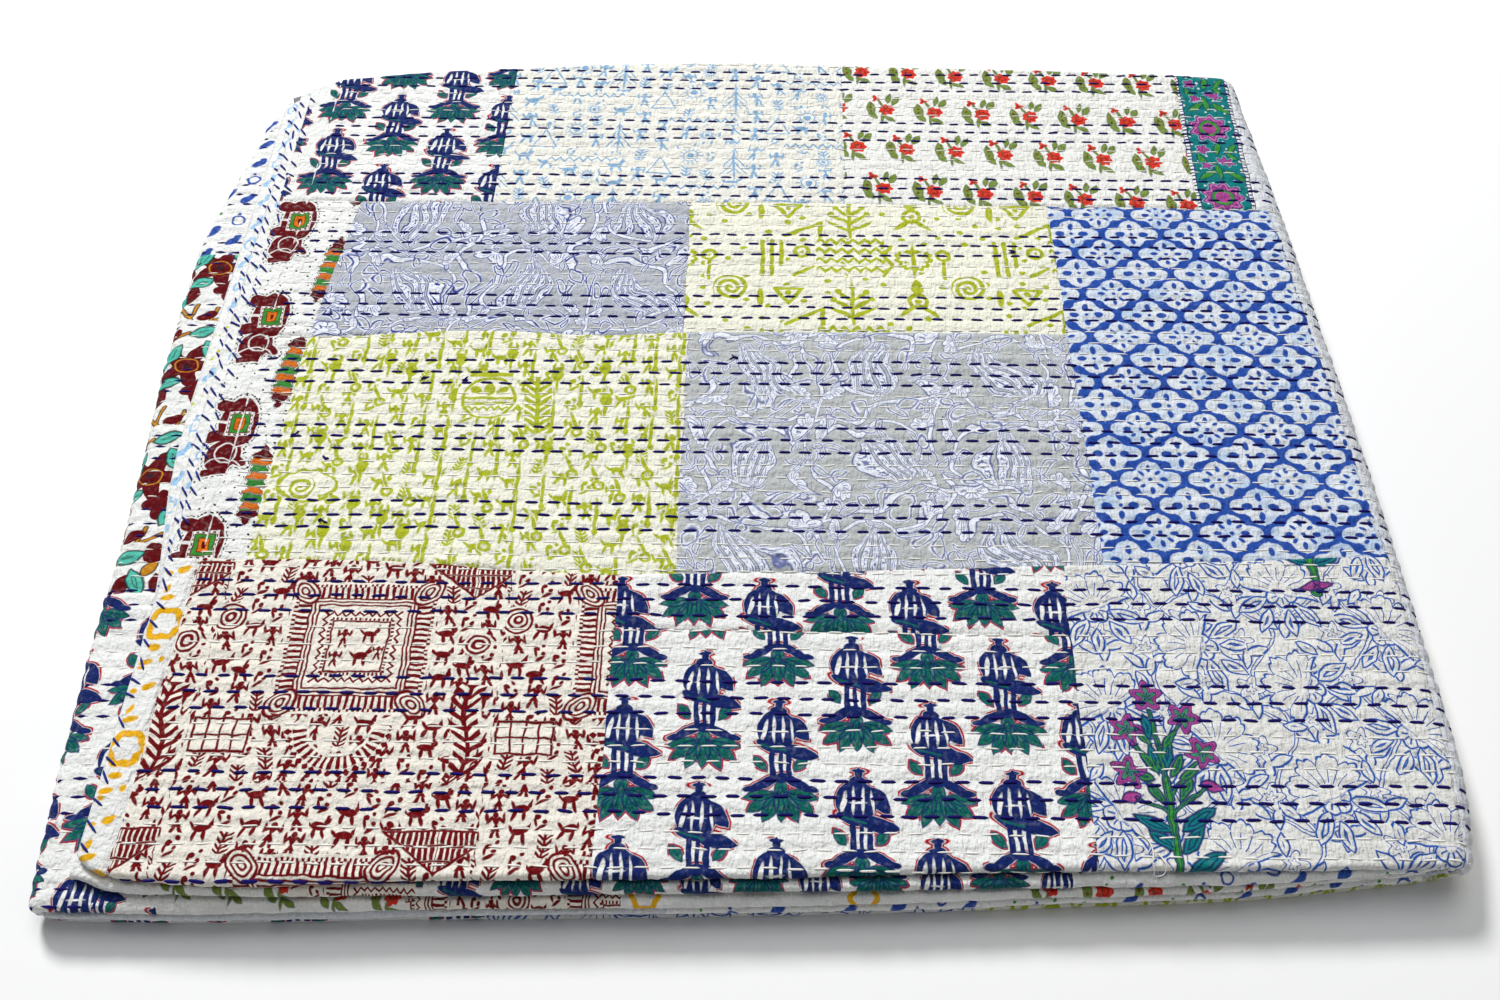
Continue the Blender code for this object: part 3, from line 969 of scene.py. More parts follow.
def finish_cloth(finish, at, tone):
    """The woven cotton's surface: faded and creased colour, fine puckers and the weave."""
    blotch = speckle(at, 0.03, 3)
    worn = speckle(at, 0.9, 3)
    shade = blotch.times(0.1, 0.915) + worn * 0.05
    finish.feed("Base Color", scaled(tone, shade))
    finish.feed("Roughness", blotch.times(0.12, 0.82))
    x, y = parts(at)
    threads = (x * (2 * pi / WEAVE)).sine() * (y * (2 * pi / WEAVE)).sine()
    pucker = speckle(join(x * 0.42, y * 0.16), 1, 3)
    crumple = speckle(join(x * 0.2, y * 0.3), 1, 4)
    height = threads * 0.03 + pucker * 1.6 + crumple * 1.3
    finish.feed("Normal", finish.add("Bump", {}, {"Strength": 1, "Distance": MM, "Height": height}))
    return finish.material


CREAM = colour(240, 238, 229)
OFF_WHITE = colour(244, 245, 242)
IVORY = colour(246, 245, 228)
NAVY_INK, TREE_GREEN, KEY_RED = colour(19, 38, 102), colour(14, 106, 88), colour(178, 14, 36)
MAROON, LIME, PALE_BLUE = colour(112, 4, 12), colour(174, 184, 38), colour(104, 162, 208)
LATTICE_BLUE, LINE_BLUE, VINE_BLUE = colour(38, 78, 168), colour(24, 84, 172), colour(36, 60, 144)
GREY_GROUND, VINE_WHITE = colour(184, 188, 196), colour(234, 238, 247)
YELLOW, RED, OLIVE = colour(236, 178, 18), colour(218, 52, 34), colour(118, 140, 58)
TEAL, PINK, LEAF_GREEN = colour(16, 124, 126), colour(172, 70, 146), colour(60, 146, 56)
AQUA, OCHRE, DARK_MAROON = colour(84, 192, 172), colour(202, 138, 30), colour(98, 4, 14)
ORANGE, BLACK = colour(226, 116, 26), colour(36, 30, 34)


def draw(at, *shapes):
    """The distance to the nearest of several shapes, each given as its function and its numbers."""
    return nearest(*(shape(at, *numbers) for shape, *numbers in shapes))


def ring(at, x, y, radius, width):
    return outline(blob(at, x, y, radius), width)


def mirrored(at):
    """The place with its left half turned over on to its right half."""
    x, y = parts(at)
    return join(abs(x), y)


def moved(at, x, y):
    return at.vector("SUBTRACT", (x, y, 0))


def luck(tile, salt=0.5):
    """Three chances from 0 to 1 that belong to a tile."""
    own = tile.vector("ADD", (salt, salt, 0))
    found = tile.finish.add("TexWhiteNoise", {"noise_dimensions": "2D"}, {"Vector": own}, "Color")
    return tuple(tile.finish.add("SeparateXYZ", {}, {0: found}, i) for i in range(3))


def between(value, low, high):
    """1 where a number is between two others, otherwise 0."""
    return value.above(low) * value.below(high)


def only(distance, shown):
    """A shape that is drawn only where its share is 1."""
    return distance + (1 - shown) * 40


def jittered(at, tile, reach, salt=0.5):
    """The place in a tile, moved by the tile's own chance."""
    first, second, third = luck(tile, salt)
    return at.vector("ADD", join(first * (2 * reach) - reach, second * (2 * reach) - reach)), third


def wavy(at, pitch, high):
    """The place on the waves of a zigzag line."""
    x, y = parts(at)
    fold = x.fold(pitch)
    return y - fold * (high / pitch)


def person(at, x=0, y=0, size=1, turn=0):
    """A figure of two triangles, as on painted village walls."""
    own = mirrored(local(at, x, y, (size, size), turn))
    a, b = parts(own)
    trunk = (a - abs(b) * 0.6 - 0.5).within(abs(b) - 3.5)
    limbs = draw(own, (blob, 0, 5, 1.6), (blob, 1.8, -5.6, 2.7, 0.85, -68),
                 (blob, 3.1, 2.6, 2.1, 0.75, -40), (blob, 4.5, 3.6, 2.5, 0.75, 84))
    return nearest(trunk, limbs) * size


def beast(at, x=0, y=0, size=1, turn=0):
    """A walking animal of a few strokes."""
    own = local(at, x, y, (size, size), turn)
    return draw(own, (blob, 0, 0.6, 3.8, 1.8), (blob, 4.3, 2.8, 1.9, 1.2, 35),
                (blob, -2.4, -2.6, 2.6, 0.85, 80), (blob, 2.2, -2.6, 2.6, 0.85, 100),
                (blob, -4.6, 1.8, 2, 0.6, 130), (blob, 4.6, 5, 1.8, 0.55, 60)) * size


def sprig(at, x=0, y=0, size=1, turn=0, tall=8, pitch=2.8):
    """A straight stem with pairs of small leaves."""
    own = mirrored(local(at, x, y, (size, size), turn))
    a, b = parts(own)
    along = (b - a * 0.8).fold(pitch / 2)
    leaves = (along - 0.62).within(a - 3.4)
    return nearest(a - 0.5, leaves).within(abs(b) - tall) * size


def sun(at, x, y, radius):
    """A disc with a ring and rays."""
    angle, far = polar(local(at, x, y))
    rays = abs((angle * 7).sine()) * far * 0.14 - 0.35
    rays = rays.within(abs(far - radius * 0.84) - radius * 0.16)
    return nearest(rays, abs(far - radius * 0.6) - 0.45, far - radius * 0.3)


class Print:
    """A print under way: the places on its cloth, how thick the ink took, and its colour so far."""

    def __init__(self, name, ground, wander):
        self.finish = Finish(name)
        self.at, self.slipped = cloth_place(self.finish, wander)
        self.ink = speckle(self.at, 0.28, 3).times(0.5, 0.76, clamp=True)
        faded = speckle(self.at, 0.035).times(1.6, -0.45, clamp=True)
        self.tone = mix(faded, ground, (*(part * 0.93 for part in ground[:3]), 1.0))

    def wash(self, share, dye):
        self.tone = mix(share, self.tone, dye)

    def stamp(self, shape, dye, amount=None, soft=0.22):
        """Prints a shape in a dye, and the amount says how much of it takes."""
        share = inked(shape, soft)
        self.wash(share if amount is None else share * amount, dye)


def trees(cloth, start):
    """Domed navy trees on green lotus leaves, in a half drop. One column is set down lower than the rest."""
    wide = 43.9
    x, y = parts(moved(cloth.slipped, *start))
    low = (x / wide).maths("ROUND").maths("COMPARE", 1, 0.1)
    spot, tile = repeat(join(x, low * 10 + y), wide, 83.2, -41.6)
    spot, _ = jittered(spot, tile, 1)
    both = mirrored(spot)
    petals = [leaf(both, *numbers) for numbers in ((0, -23.5, 10, 4, 90), (5.8, -25.5, 9.8, 3.6, -66),
                                                   (10.8, -22.8, 9.8, 3.6, -38), (12, -18.4, 9.6, 3, -12),
                                                   (0, -14.5, 6, 3.8, 90), (11.6, 0.5, 5.6, 2.9, 52))]
    leaves = nearest(*petals)
    skirt = draw(both, (blob, 8.4, -10.9, 9.6, 2.9, -27), (blob, 16.4, -14.9, 4.8, 2, -6),
                 (blob, 0, -8.4, 4.6, 3))
    legs = draw(both, (stroke, 4.9, 7, 4.5, -8, 3.3), (stroke, 0, 7, 0, -9, 2.5))
    dome = draw(spot, (blob, -1.8, 21.4, 11.8, 12.2), (leaf, 9.6, 22.6, 10.6, 5.2, -50),
                (blob, -0.8, 39.2, 4, 1.3), (leaf, -0.8, 37.4, 4.4, 2.2, 90), (blob, -1, 33, 5, 3))
    slots = draw(spot, (blob, -9, 20.4, 1.4, 6.6, -10), (blob, -3.8, 21.4, 0.95, 7.6),
                 (blob, 1.6, 21.6, 0.95, 7.4), (blob, 6.8, 20.6, 0.8, 6.4, 6),
                 (blob, -1.2, 20.4, 4.4, 0.6))
    sash = draw(spot, (leaf, 8.4, 8, 14, 4.6, -13), (blob, -6, 10.8, 8.2, 3, -24))
    under = draw(spot, (blob, 4.6, 2.6, 12, 0.9, -14))
    navy = nearest(dome.within(-slots), skirt, legs, sash.within(-under))
    green = stroke(spot, -10, 12, 2.6, 8, 1.3)
    key = outline(nearest(dome, skirt, sash, leaves) - 0.6, 0.8)
    key = key.within((speckle(cloth.at, 0.07, 1) - 0.53) * 9)
    cloth.stamp(key, KEY_RED)
    cloth.stamp(leaves, TREE_GREEN, cloth.ink)
    cloth.stamp(nearest(*(outline(petal, 0.7) for petal in petals), outline(leaves + 1.8, 0.3)), NAVY_INK,
                0.85)
    cloth.stamp(navy, NAVY_INK, cloth.ink * 0.6 + 0.4)
    cloth.stamp(green, TREE_GREEN, 0.8)


def ogee(cloth):
    """A blue lattice of barbed cells, with eight small petals or four large ones in each."""
    cells, petals = [], []
    motifs = (  # the middle of one cell of each kind, and its petals
        ((602, 504), ((8.8, 0, 2.7, 1.6, 0), (0, 8.6, 1.6, 2.7, 0), (5.6, 5, 2.5, 1.4, 45),
                      (0, 0, 1.6, 1.3, 0))),
        ((579.65, 483.4), ((8.6, 0, 3.5, 2.4, 0), (0, 7.4, 2, 3.4, 0), (0, 0, 1.4, 1.3, 0))),
    )
    for start, motif in motifs:
        quarter = repeat(moved(cloth.slipped, *start), 44.7, 41.2)[0].vector("ABSOLUTE")
        a, b = parts(quarter)
        diamond = (a / 19.1 + b / 15.7 - 1) * 12
        cells.append(nearest(diamond, blob(quarter, 12.5, 0, 8.1, 6.7), blob(quarter, 0, 7.2, 9, 7.3)))
        petals.append(draw(quarter, *((blob, *numbers) for numbers in motif)))
    cell = nearest(*cells)
    washed = speckle(cloth.at, 0.05, 3).times(4, -1.8, clamp=True)
    cloth.wash(washed * 0.6 + 0.06, colour(164, 196, 232))
    cloth.stamp(outline(cell, 1.4), colour(120, 160, 226), 0.22, 1)
    cloth.stamp(nearest(-cell - 0.65, *petals), LATTICE_BLUE, cloth.ink * 0.6 + 0.4, 0.3)


def village(cloth):
    """Maroon wall-painting motifs: a combed square, targets, a boat, a branch, and little figures."""
    spot, _ = repeat(moved(cloth.slipped, 110, 128), 174, 172)
    quarter = spot.vector("ABSOLUTE")
    a, b = parts(quarter)
    out, along = a.within(b), a.maths("MINIMUM", b)
    comb = ((along * (2 * pi / 3.9)).maths("COSINE") * -0.9 + 0.2).within(abs(out - 36.8) - 4)
    rails = nearest(*(abs(out - far) - 0.42 for far in (32.6, 30.2, 27.8, 17)))
    zigzag = nearest(abs(out - 21 - along.fold(2.6)) - 0.65,
                     ((along * 2.1).sine() + 0.2).within(abs(out - 41.8) - 0.9),
                     ((along * 2.4).sine() + 0.1).within(abs(out - 18.6) - 0.8))
    lobes = blob(quarter, 38, 38, 10.5, 6.6, 45)
    lobe_lines = nearest(outline(lobes, 1), outline(lobes + 2.4, 0.8), outline(lobes + 4.8, 0.8))
    framed = nearest(comb, rails, zigzag).within(-lobes)
    framed = nearest(framed, lobe_lines, person(spot, -9, 6, 0.8), beast(spot, 6, 8),
                     beast(spot, 3, -7, 1.1), person(spot, -12, -8, 0.7), person(spot, 13, -4, 0.6))
    targets = draw(spot, (ring, -80, 19, 8.6, 1.2), (ring, -80, 19, 5.6, 1.1), (ring, -80, 19, 2.4, 1.6),
                   (ring, 72, 2, 6.5, 1.2), (ring, 72, 2, 3.2, 1.8))
    boat = mirrored(local(spot, 66, 50))
    long, high = parts(boat)
    hull = (long * 0.62 - high * 0.8 - 12.5).within(high - 8)
    planks = ((long * 1.9).sine() * 0.8 - 0.2).within(0.8 - high.fold(4.4))
    boat_lines = nearest(outline(hull, 1.1), nearest(planks, high.fold(4.4) - 0.4).within(hull))
    branch_at = local(spot, 72, -54)
    sway = (parts(branch_at)[1] * 0.12).sine() * 3
    branch = sprig(branch_at.vector("ADD", join(sway, 0)), 0, 0, 2.4, 0, 12, 2.8)
    wall = local(spot, -68, -58).vector("ABSOLUTE")
    wall_a, wall_b = parts(wall)
    house = (wall_a - 16).within(wall_b - 10)
    walls = nearest(outline(house, 1.1),
                    nearest(wall_a.fold(4) - 0.5, wall_b.fold(5) - 0.4).within(house))
    arc_a, arc_b = parts(local(spot, 0, -52))
    arc_far = (arc_a * arc_a + arc_b * arc_b).maths("SQRT") - 23
    spokes = (arc_b.maths("ARCTAN2", arc_a) * 36).sine()
    fringe = nearest((spokes * 0.9 + 0.1).within(abs(arc_far) - 3.6),
                     (spokes * 1.2 + abs(arc_far - 6.2) - 0.9)).within(arc_b + 2)
    large = nearest(framed, targets, boat_lines, branch, walls, fringe)
    filled = nearest(out - 44, blob(spot, -80, 19, 10), blob(spot, 72, 2, 8), hull,
                     blob(spot, 72, -54, 8, 26), house, abs(arc_far - 1) - 6 + (arc_b + 2).within(0))
    figures = small_crowd(spot, 13, 14.8, 0.5, 1.2).within(0.8 - filled)
    cloth.stamp(nearest(large, figures) - 0.2, MAROON, cloth.ink * 0.35 + 0.65, 0.25)


def small_crowd(at, wide, deep, salt=0.5, size=1):
    """Little figures, beasts and sprigs, one chosen by chance for each tile."""
    spot, tile = repeat(at, wide, deep, deep * 0.37)
    spot, kind = jittered(spot, tile, 1.3, salt)
    tip = luck(tile, salt + 3)[0]
    a, b = parts(spot)
    leaning = join(a + b * (tip * 0.7 - 0.35), b)
    marks = draw(leaning, (blob, -2, 2, 1.7, 1.4), (blob, 2, -1, 1.2), (blob, 0, -4.4, 3, 0.9, 30),
                 (blob, 2.2, 4.4, 1.1), (blob, -3, -1, 2.4, 0.8, 100))
    return nearest(only(person(leaning, 0, 0, 0.86 * size), kind.below(0.46)),
                   only(beast(leaning, 0, 0, size), between(kind, 0.46, 0.7)),
                   only(sprig(leaning, 0, 0, 0.95 * size, 0, 5.4), between(kind, 0.7, 0.82)),
                   only(marks, kind.above(0.82)))


def lime_crowd(cloth):
    """Lime poles, pots, rings and figures on an ivory ground."""
    figures = small_crowd(cloth.slipped, 17, 19.4, 7.5, 1.08)
    spot, tile = repeat(moved(cloth.slipped, 5, 4), 17, 31, 11)
    spot, kind = jittered(spot, tile, 2)
    poles = nearest(only(draw(spot, (blob, 0, 0, 1, 12), (blob, 0, -11, 1.8, 2.4)), kind.below(0.42)),
                    only(draw(spot, (ring, 0, -5, 3, 1.6), (blob, -2.2, 3, 6.5, 1, 112)),
                         between(kind, 0.42, 0.68)),
                    only(draw(spot, (leaf, 0, 3, 6, 3.8, 90), (blob, 0, 8, 3.2, 1.2),
                              (blob, -2.4, 11, 1.9, 0.8, 70), (blob, 2.4, 11, 1.9, 0.8, 110),
                              (blob, 0, -5, 0.9, 5)), kind.above(0.68)))
    figures = figures.within(1.2 - poles)
    pot_at = mirrored(local(cloth.slipped, 164, 320))
    a, b = parts(pot_at)
    pot_far = pot_at.length()
    rim = pot_far - 17.5
    pot = nearest(outline(rim, 1.6),
                  nearest(abs(b) - 0.8, abs(b + 4) - 0.6, abs(wavy(pot_at, 2.6, 3) + 10) - 0.9,
                          blob(pot_at, 9, 7, 4, 2.2, 30), leaf(pot_at, 0, 8, 6, 3.4, 90)).within(rim),
                  (abs(b - 21) - 2).within(a - 14))
    spiral = coil(local(cloth.slipped, 52, 244), 4.4, 0.8, 8.5)
    bowl = outline(blob(cloth.slipped, 56, 246, 19, 13), 1.6)
    big = nearest(pot, spiral, bowl, sprig(cloth.slipped, 198, 314, 2.5, 4, 9.6, 2.4))
    free = nearest(blob(pot_at, 0, 3, 21), blob(cloth.slipped, 56, 246, 20, 14),
                   blob(cloth.slipped, 198, 314, 9, 24))
    small = nearest(figures, poles).within(1 - free)
    cloth.stamp(nearest(big, small) - 0.35, LIME, cloth.ink, 0.35)


def lime_signs(cloth):
    """Lime spirals, trees, waves, ladders and dots on an ivory ground."""
    spot, _ = repeat(moved(cloth.slipped, 412, 432), 172, 88)
    signs = [coil(local(spot, middle, -7), 5.4, 1.15, 12.5) for middle in (-86, 86)]
    x, y = parts(spot)
    waves = (y - x.fold(4.2)).fold(4.8) - 1.3
    signs.append(waves.within(abs(x - 2) - 25).within(abs(y - 25) - 19))
    tree = mirrored(local(spot, 2, -24))
    signs.append(draw(tree, (blob, 0, 0, 1.2, 18), (blob, 5, 8, 6, 1.2, 42), (blob, 6, 0, 7.5, 1.3, 36),
                      (blob, 7, -8, 9, 1.3, 32), (blob, 10, 13, 2.2), (blob, 13.5, 5.6, 2.2),
                      (blob, 0, 18, 2)))
    crown = local(spot, 48, 24)
    angle, far = polar(crown)
    comb = abs((angle * 7).sine()) * 2.4
    signs.append(nearest(outline(far - 10 - comb, 2.8).within(parts(crown)[1] - 6),
                         blob(crown, 0, -3, 1.3, 13), blob(crown, 0, 6, 5, 1.5)))
    signs.append(draw(spot, (ring, 49, -20, 6.2, 2.3), (leaf, 49, -7, 8, 4.2, 90),
                      (blob, 56, -29, 8, 1.6, -40), (blob, 42, -29, 7, 1.6, 40), (blob, 49, -20, 1.9),
                      (stroke, -63, 6, -63, 40, 2.4), (stroke, -56, 6, -56, 40, 2.4),
                      (stroke, -49, 16, -49, 40, 2.2), (ring, -34, 30, 5, 2.4),
                      (stroke, -54, -8, -34, -8, 2.2), (stroke, -54, -8, -44, -22, 2.2),
                      (stroke, -34, -8, -44, -22, 2.2), (blob, -44, -12, 1.8),
                      (stroke, -20, -28, -46, -42, 2.6), (stroke, -20, -28, -20, -44, 2.4),
                      (stroke, -40, 6, -26, 14, 2.2), (blob, -64, -16, 2.2, 7),
                      (stroke, 26, 6, 32, 16, 2.2), (stroke, 32, 16, 26, 26, 2.2),
                      (stroke, 26, 26, 32, 36, 2.2), (ring, 70, 26, 4.6, 2.2),
                      (stroke, 70, 20, 70, 2, 2.2)))
    dots, dot_tile = repeat(moved(cloth.slipped, 3, 3), 14.5, 12.5, 5)
    dots, chance = jittered(dots, dot_tile, 2.6, 9.5)
    main = nearest(*signs)
    dotted = only(blob(dots, 0, 0, 1.9, 1.6), chance.below(0.6)).within(2.6 - main)
    cloth.stamp(nearest(main, dotted) - 0.45, LIME, cloth.ink, 0.35)


def fan(at, x, y, radius, turn=0, count=8, teeth=0):
    """A flower seen from its side: a fan of petals over a small cup. Its outline, and its hatching."""
    own = local(at, x, y, turn=turn)
    b = parts(own)[1]
    angle, far = polar(own)
    rim = far - abs((angle * (count / 2)).sine()) * (radius * 0.2) - radius * 0.76
    if teeth:
        rim = rim - abs((angle * (count * 1.5)).sine()) * teeth
    rim = rim.within(-b - radius * 0.12)
    rays = abs((angle * count).sine()) * far * 0.16 - 0.28
    rays = rays.within(abs(far - radius * 0.5) - radius * 0.2).within(-b)
    return rim, rays


def grey_vine(cloth, blue):
    """Striped pods and small fan flowers on looping stems, white and blue on grey."""
    drift = scaled(speckle(cloth.at, 0.022, 1, out="Color").vector("SUBTRACT", (0.5, 0.5, 0.5)), 34)
    drifted = cloth.slipped.vector("ADD", drift)
    placed = moved(drifted, 344, 273)
    spot, tile = repeat(placed, 83.5, 77)
    column, row = parts(tile)
    odd = (column + row).fold(1)
    a, b = parts(spot)
    lean = a + b * (odd * 0.8 - 0.15)
    bent = (b + 8) / 31
    swell = (1.08 - bent * bent).within(0.12)
    across = abs(lean / swell)
    stripe = across.fold(3.4)
    pod = (across - 16.4).within(b - 21).within(stripe * 2.4 - b - 26)
    stripes = (stripe - 2.4).within(pod)
    flecks = (0.57 - speckle(join(lean / swell * 1.1, b * 0.35), 1, 1)) * 6
    loop = abs(join(a + odd * 3, b * 1.08).length() - 31)
    loop = loop.within(2 - (a * (odd * 2 - 1) + b * 0.6 + 18))
    x, y = parts(placed)
    trail = (y - 38.5 + (x * (pi / 83.5)).sine() * 9).fold(38.5)
    climber = (x + (y * (pi / 38.5)).sine() * 6 + 41.75).fold(41.75)
    fans = [fan(spot, *place) for place in ((30, 24, 10.5, 20), (-30, -24, 10, 200), (-31, 24, 9.5, 120),
                                            (31, -22, 9.5, -60), (41, -37, 8, 90), (2, 37, 8, 20))]
    rims = nearest(*(rim for rim, _ in fans))
    leaves = draw(spot, (leaf, 38, 4, 8.5, 3.6, 100), (leaf, -22, 34, 8, 3.2, 20),
                  (leaf, 21, -34, 8, 3.2, 20), (leaf, -37, -2, 8, 3.4, 70), (leaf, 14, 36, 6.5, 2.8, -30),
                  (leaf, -12, -36, 6.5, 2.8, 150))
    small, small_tile = repeat(placed, 27.8, 25.7, 9)
    small, _ = jittered(small, small_tile, 4, 2.5)
    twigs = draw(small, (leaf, 5, 2, 6, 2.5, 20), (leaf, -5, 3, 6, 2.4, 150), (leaf, 0, -5, 5.5, 2.3, 80))
    leaves = nearest(leaves, twigs.within(1.6 - nearest(pod, rims, leaves)))
    shapes = nearest(pod, rims, leaves)
    bands = nearest(loop, trail, climber).within(1.4 - shapes)
    white = nearest(stripes, rims, outline(leaves, 1.8), bands - 1.35)
    cloth.stamp(white, VINE_WHITE, cloth.ink * 0.25 + 0.74, 0.16)
    hatches = nearest(*(rays for _, rays in fans))
    specks = flecks.within(stripes + 0.9)
    lines = nearest(outline(nearest(rims, leaves), 0.65), outline(bands - 1.6, 0.55), hatches - 0.05,
                    outline(stripes, 0.6), specks)
    cloth.stamp(lines, VINE_BLUE, cloth.ink * 0.5 + blue)


def plant(cloth):
    """A sprig of green stems and teal leaves, with pink stars and buds."""
    at = cloth.slipped
    places = (574.5, 101, 20), (593.6, 88, 60), (560, 80, 0), (601, 66, 40), (557.5, 54, 80)
    stars = nearest(*(flower(at, x, y, 5, 8.2, 2.2, turn) for x, y, turn in places))
    buds = draw(at, (leaf, 603, 46, 6.5, 3.4, -20), (leaf, 557, 39, 6, 3.2, 200),
                (leaf, 691, 177.5, 11, 3, 8))
    stalk = draw(at, (stroke, 577, -4, 578, 50, 4.4), (stroke, 578, 50, 575, 92, 2.6),
                 (stroke, 578, 40, 596, 60, 2.2), (stroke, 578, 54, 562, 72, 2),
                 (stroke, 578, 30, 599, 45, 2.2), (stroke, 578, 30, 560, 39, 2),
                 (stroke, 576, 60, 591, 84, 2), (stroke, 692, 204, 691.5, 180, 5))
    green = draw(at, (leaf, 588, 44, 9, 2.8, 62), (leaf, 571, 42, 9, 2.8, 118),
                 (leaf, 585, 58, 8, 2.6, 60), (leaf, 570, 60, 8, 2.6, 120), (leaf, 583, 74, 7, 2.4, 50),
                 (leaf, 569, 76, 7, 2.4, 125), (blob, 690.5, 173.5, 3.6, 3.8),
                 (leaf, 591, 53, 6, 2.4, 20), (leaf, 566, 52, 6, 2.4, 160))
    teal = draw(at, (leaf, 567, 24, 11.5, 3.8, 155), (leaf, 592, 27, 12.5, 4, 34),
                (leaf, 571, 14, 10, 3.6, 140), (leaf, 587, 15, 11, 3.8, 50), (leaf, 592, 2, 13, 4.2, 30),
                (leaf, 573, 62, 10, 3.2, 98), (leaf, 581, 66, 10, 3, 80), (leaf, 572, 82, 8, 2.6, 100),
                (leaf, 682, 199, 13, 4.6, 148), (leaf, 702, 199, 13, 4.8, 30))
    inks = (teal, TEAL), (green, LEAF_GREEN), (stalk, LEAF_GREEN), (stars, PINK), (buds, PINK)
    for shape, dye in inks:
        cloth.stamp(shape, dye, cloth.ink * 0.4 + 0.6)
    cloth.stamp(stars + 3.8, colour(40, 140, 96), 0.9)
    edges = nearest(outline(nearest(teal, green, stalk), 0.95), outline(nearest(stars, buds), 0.95),
                    outline(stars + 3.7, 0.9), stars + 7.4, outline(stars + 2, 0.35),
                    outline(teal + 1.7, 0.6), outline(stalk + 1.1, 0.55), outline(green + 1.4, 0.5))
    cloth.stamp(edges, NAVY_INK, 0.9)


def floral(cloth):
    """Fine blue line flowers and leaves on white, with one large coloured plant."""
    spot, tile = repeat(moved(cloth.slipped, 552, 30), 58, 66, 27)
    turn = luck(tile)[1] * 2.6 - 1.3
    x, y = parts(spot)
    cosine, sine = turn.maths("COSINE"), turn.sine()
    turned = join(x * cosine + y * sine, y * cosine - x * sine)
    rim, rays = fan(turned, 0, 0, 24, 0, 9, 1.8)
    cup_rim, cup_rays = fan(turned, 0, -3, 10, 180, 5)
    leaves = draw(turned, (leaf, 16, -14, 11, 4.4, -40), (leaf, -16, -14, 11, 4.4, 220),
                  (leaf, 7, -22, 9, 3.6, -75), (leaf, -8, -23, 9, 3.6, 255), (leaf, 27, 2, 7, 3, 75),
                  (leaf, -27, 2, 7, 3, 105))
    flowers = nearest(rim, cup_rim)
    small, small_tile = repeat(moved(cloth.slipped, 580, 62), 29, 33, 13)
    small, _ = jittered(small, small_tile, 4, 5.5)
    bud = flower(small, 0, 2, 5, 6.6, 2)
    twig = draw(small, (leaf, 9, -5, 8, 3, 20), (leaf, -8, -6, 8, 3, 140), (leaf, 2, -10, 7, 2.8, 80))
    x, y = parts(moved(cloth.slipped, 552, 30))
    stems = nearest((y + (x * 0.075).sine() * 11).fold(33), (x + (y * 0.095).sine() * 9 + 20).fold(29))
    front = nearest(flowers * 0.62, leaves)
    behind = 0.6 - front
    details = nearest(rays + 0.05, cup_rays + 0.05, outline(leaves + 2.2, 0.4))
    lines = nearest(outline(front, 0.85), details - 0.16,
                    outline(nearest(bud, twig), 0.85).within(behind),
                    outline(flower(small, 0, 2, 5, 2.6, 0.9), 0.6).within(behind),
                    outline(stems - 1.1, 0.75).within(0.2 - nearest(front, bud, twig)))
    cloth.stamp(lines, LINE_BLUE, cloth.ink * 0.5 + 0.56)
    plant(cloth)


def beaded_band(cloth):
    """A band of beads along the crease, green and orange at its middle and maroon at its ends."""
    x, y = parts(moved(cloth.slipped, 22, 343))
    x = x - y.within(0) * 0.1
    middle = y - (y / 97).maths("ROUND") * 97
    step = (y / 6).maths("ROUND").fold(1)
    near = (abs(x) - 5.8).within(abs(x) * 1.6 - middle - 33)
    near = near.within(-middle - 32).within(abs(x) * 1.6 + middle - 33)
    near = near + (y * 1.05).sine() + (y * 0.43).sine() * 0.8
    bead = (y + (x * 0.5).sine() * 0.8).fold(3)
    chunks = near.within(bead - 2.7)
    dye = mix(abs(middle).above(21), mix(step, LEAF_GREEN, ORANGE), DARK_MAROON)
    cloth.stamp(outline(near - 1.2, 0.7), BLACK, ((x + y) * 2).sine().above(0))
    cloth.stamp(chunks, dye, cloth.ink)
    cloth.stamp(nearest(outline(chunks, 0.6), outline(chunks + 1.6, 0.3)), BLACK, 0.8)


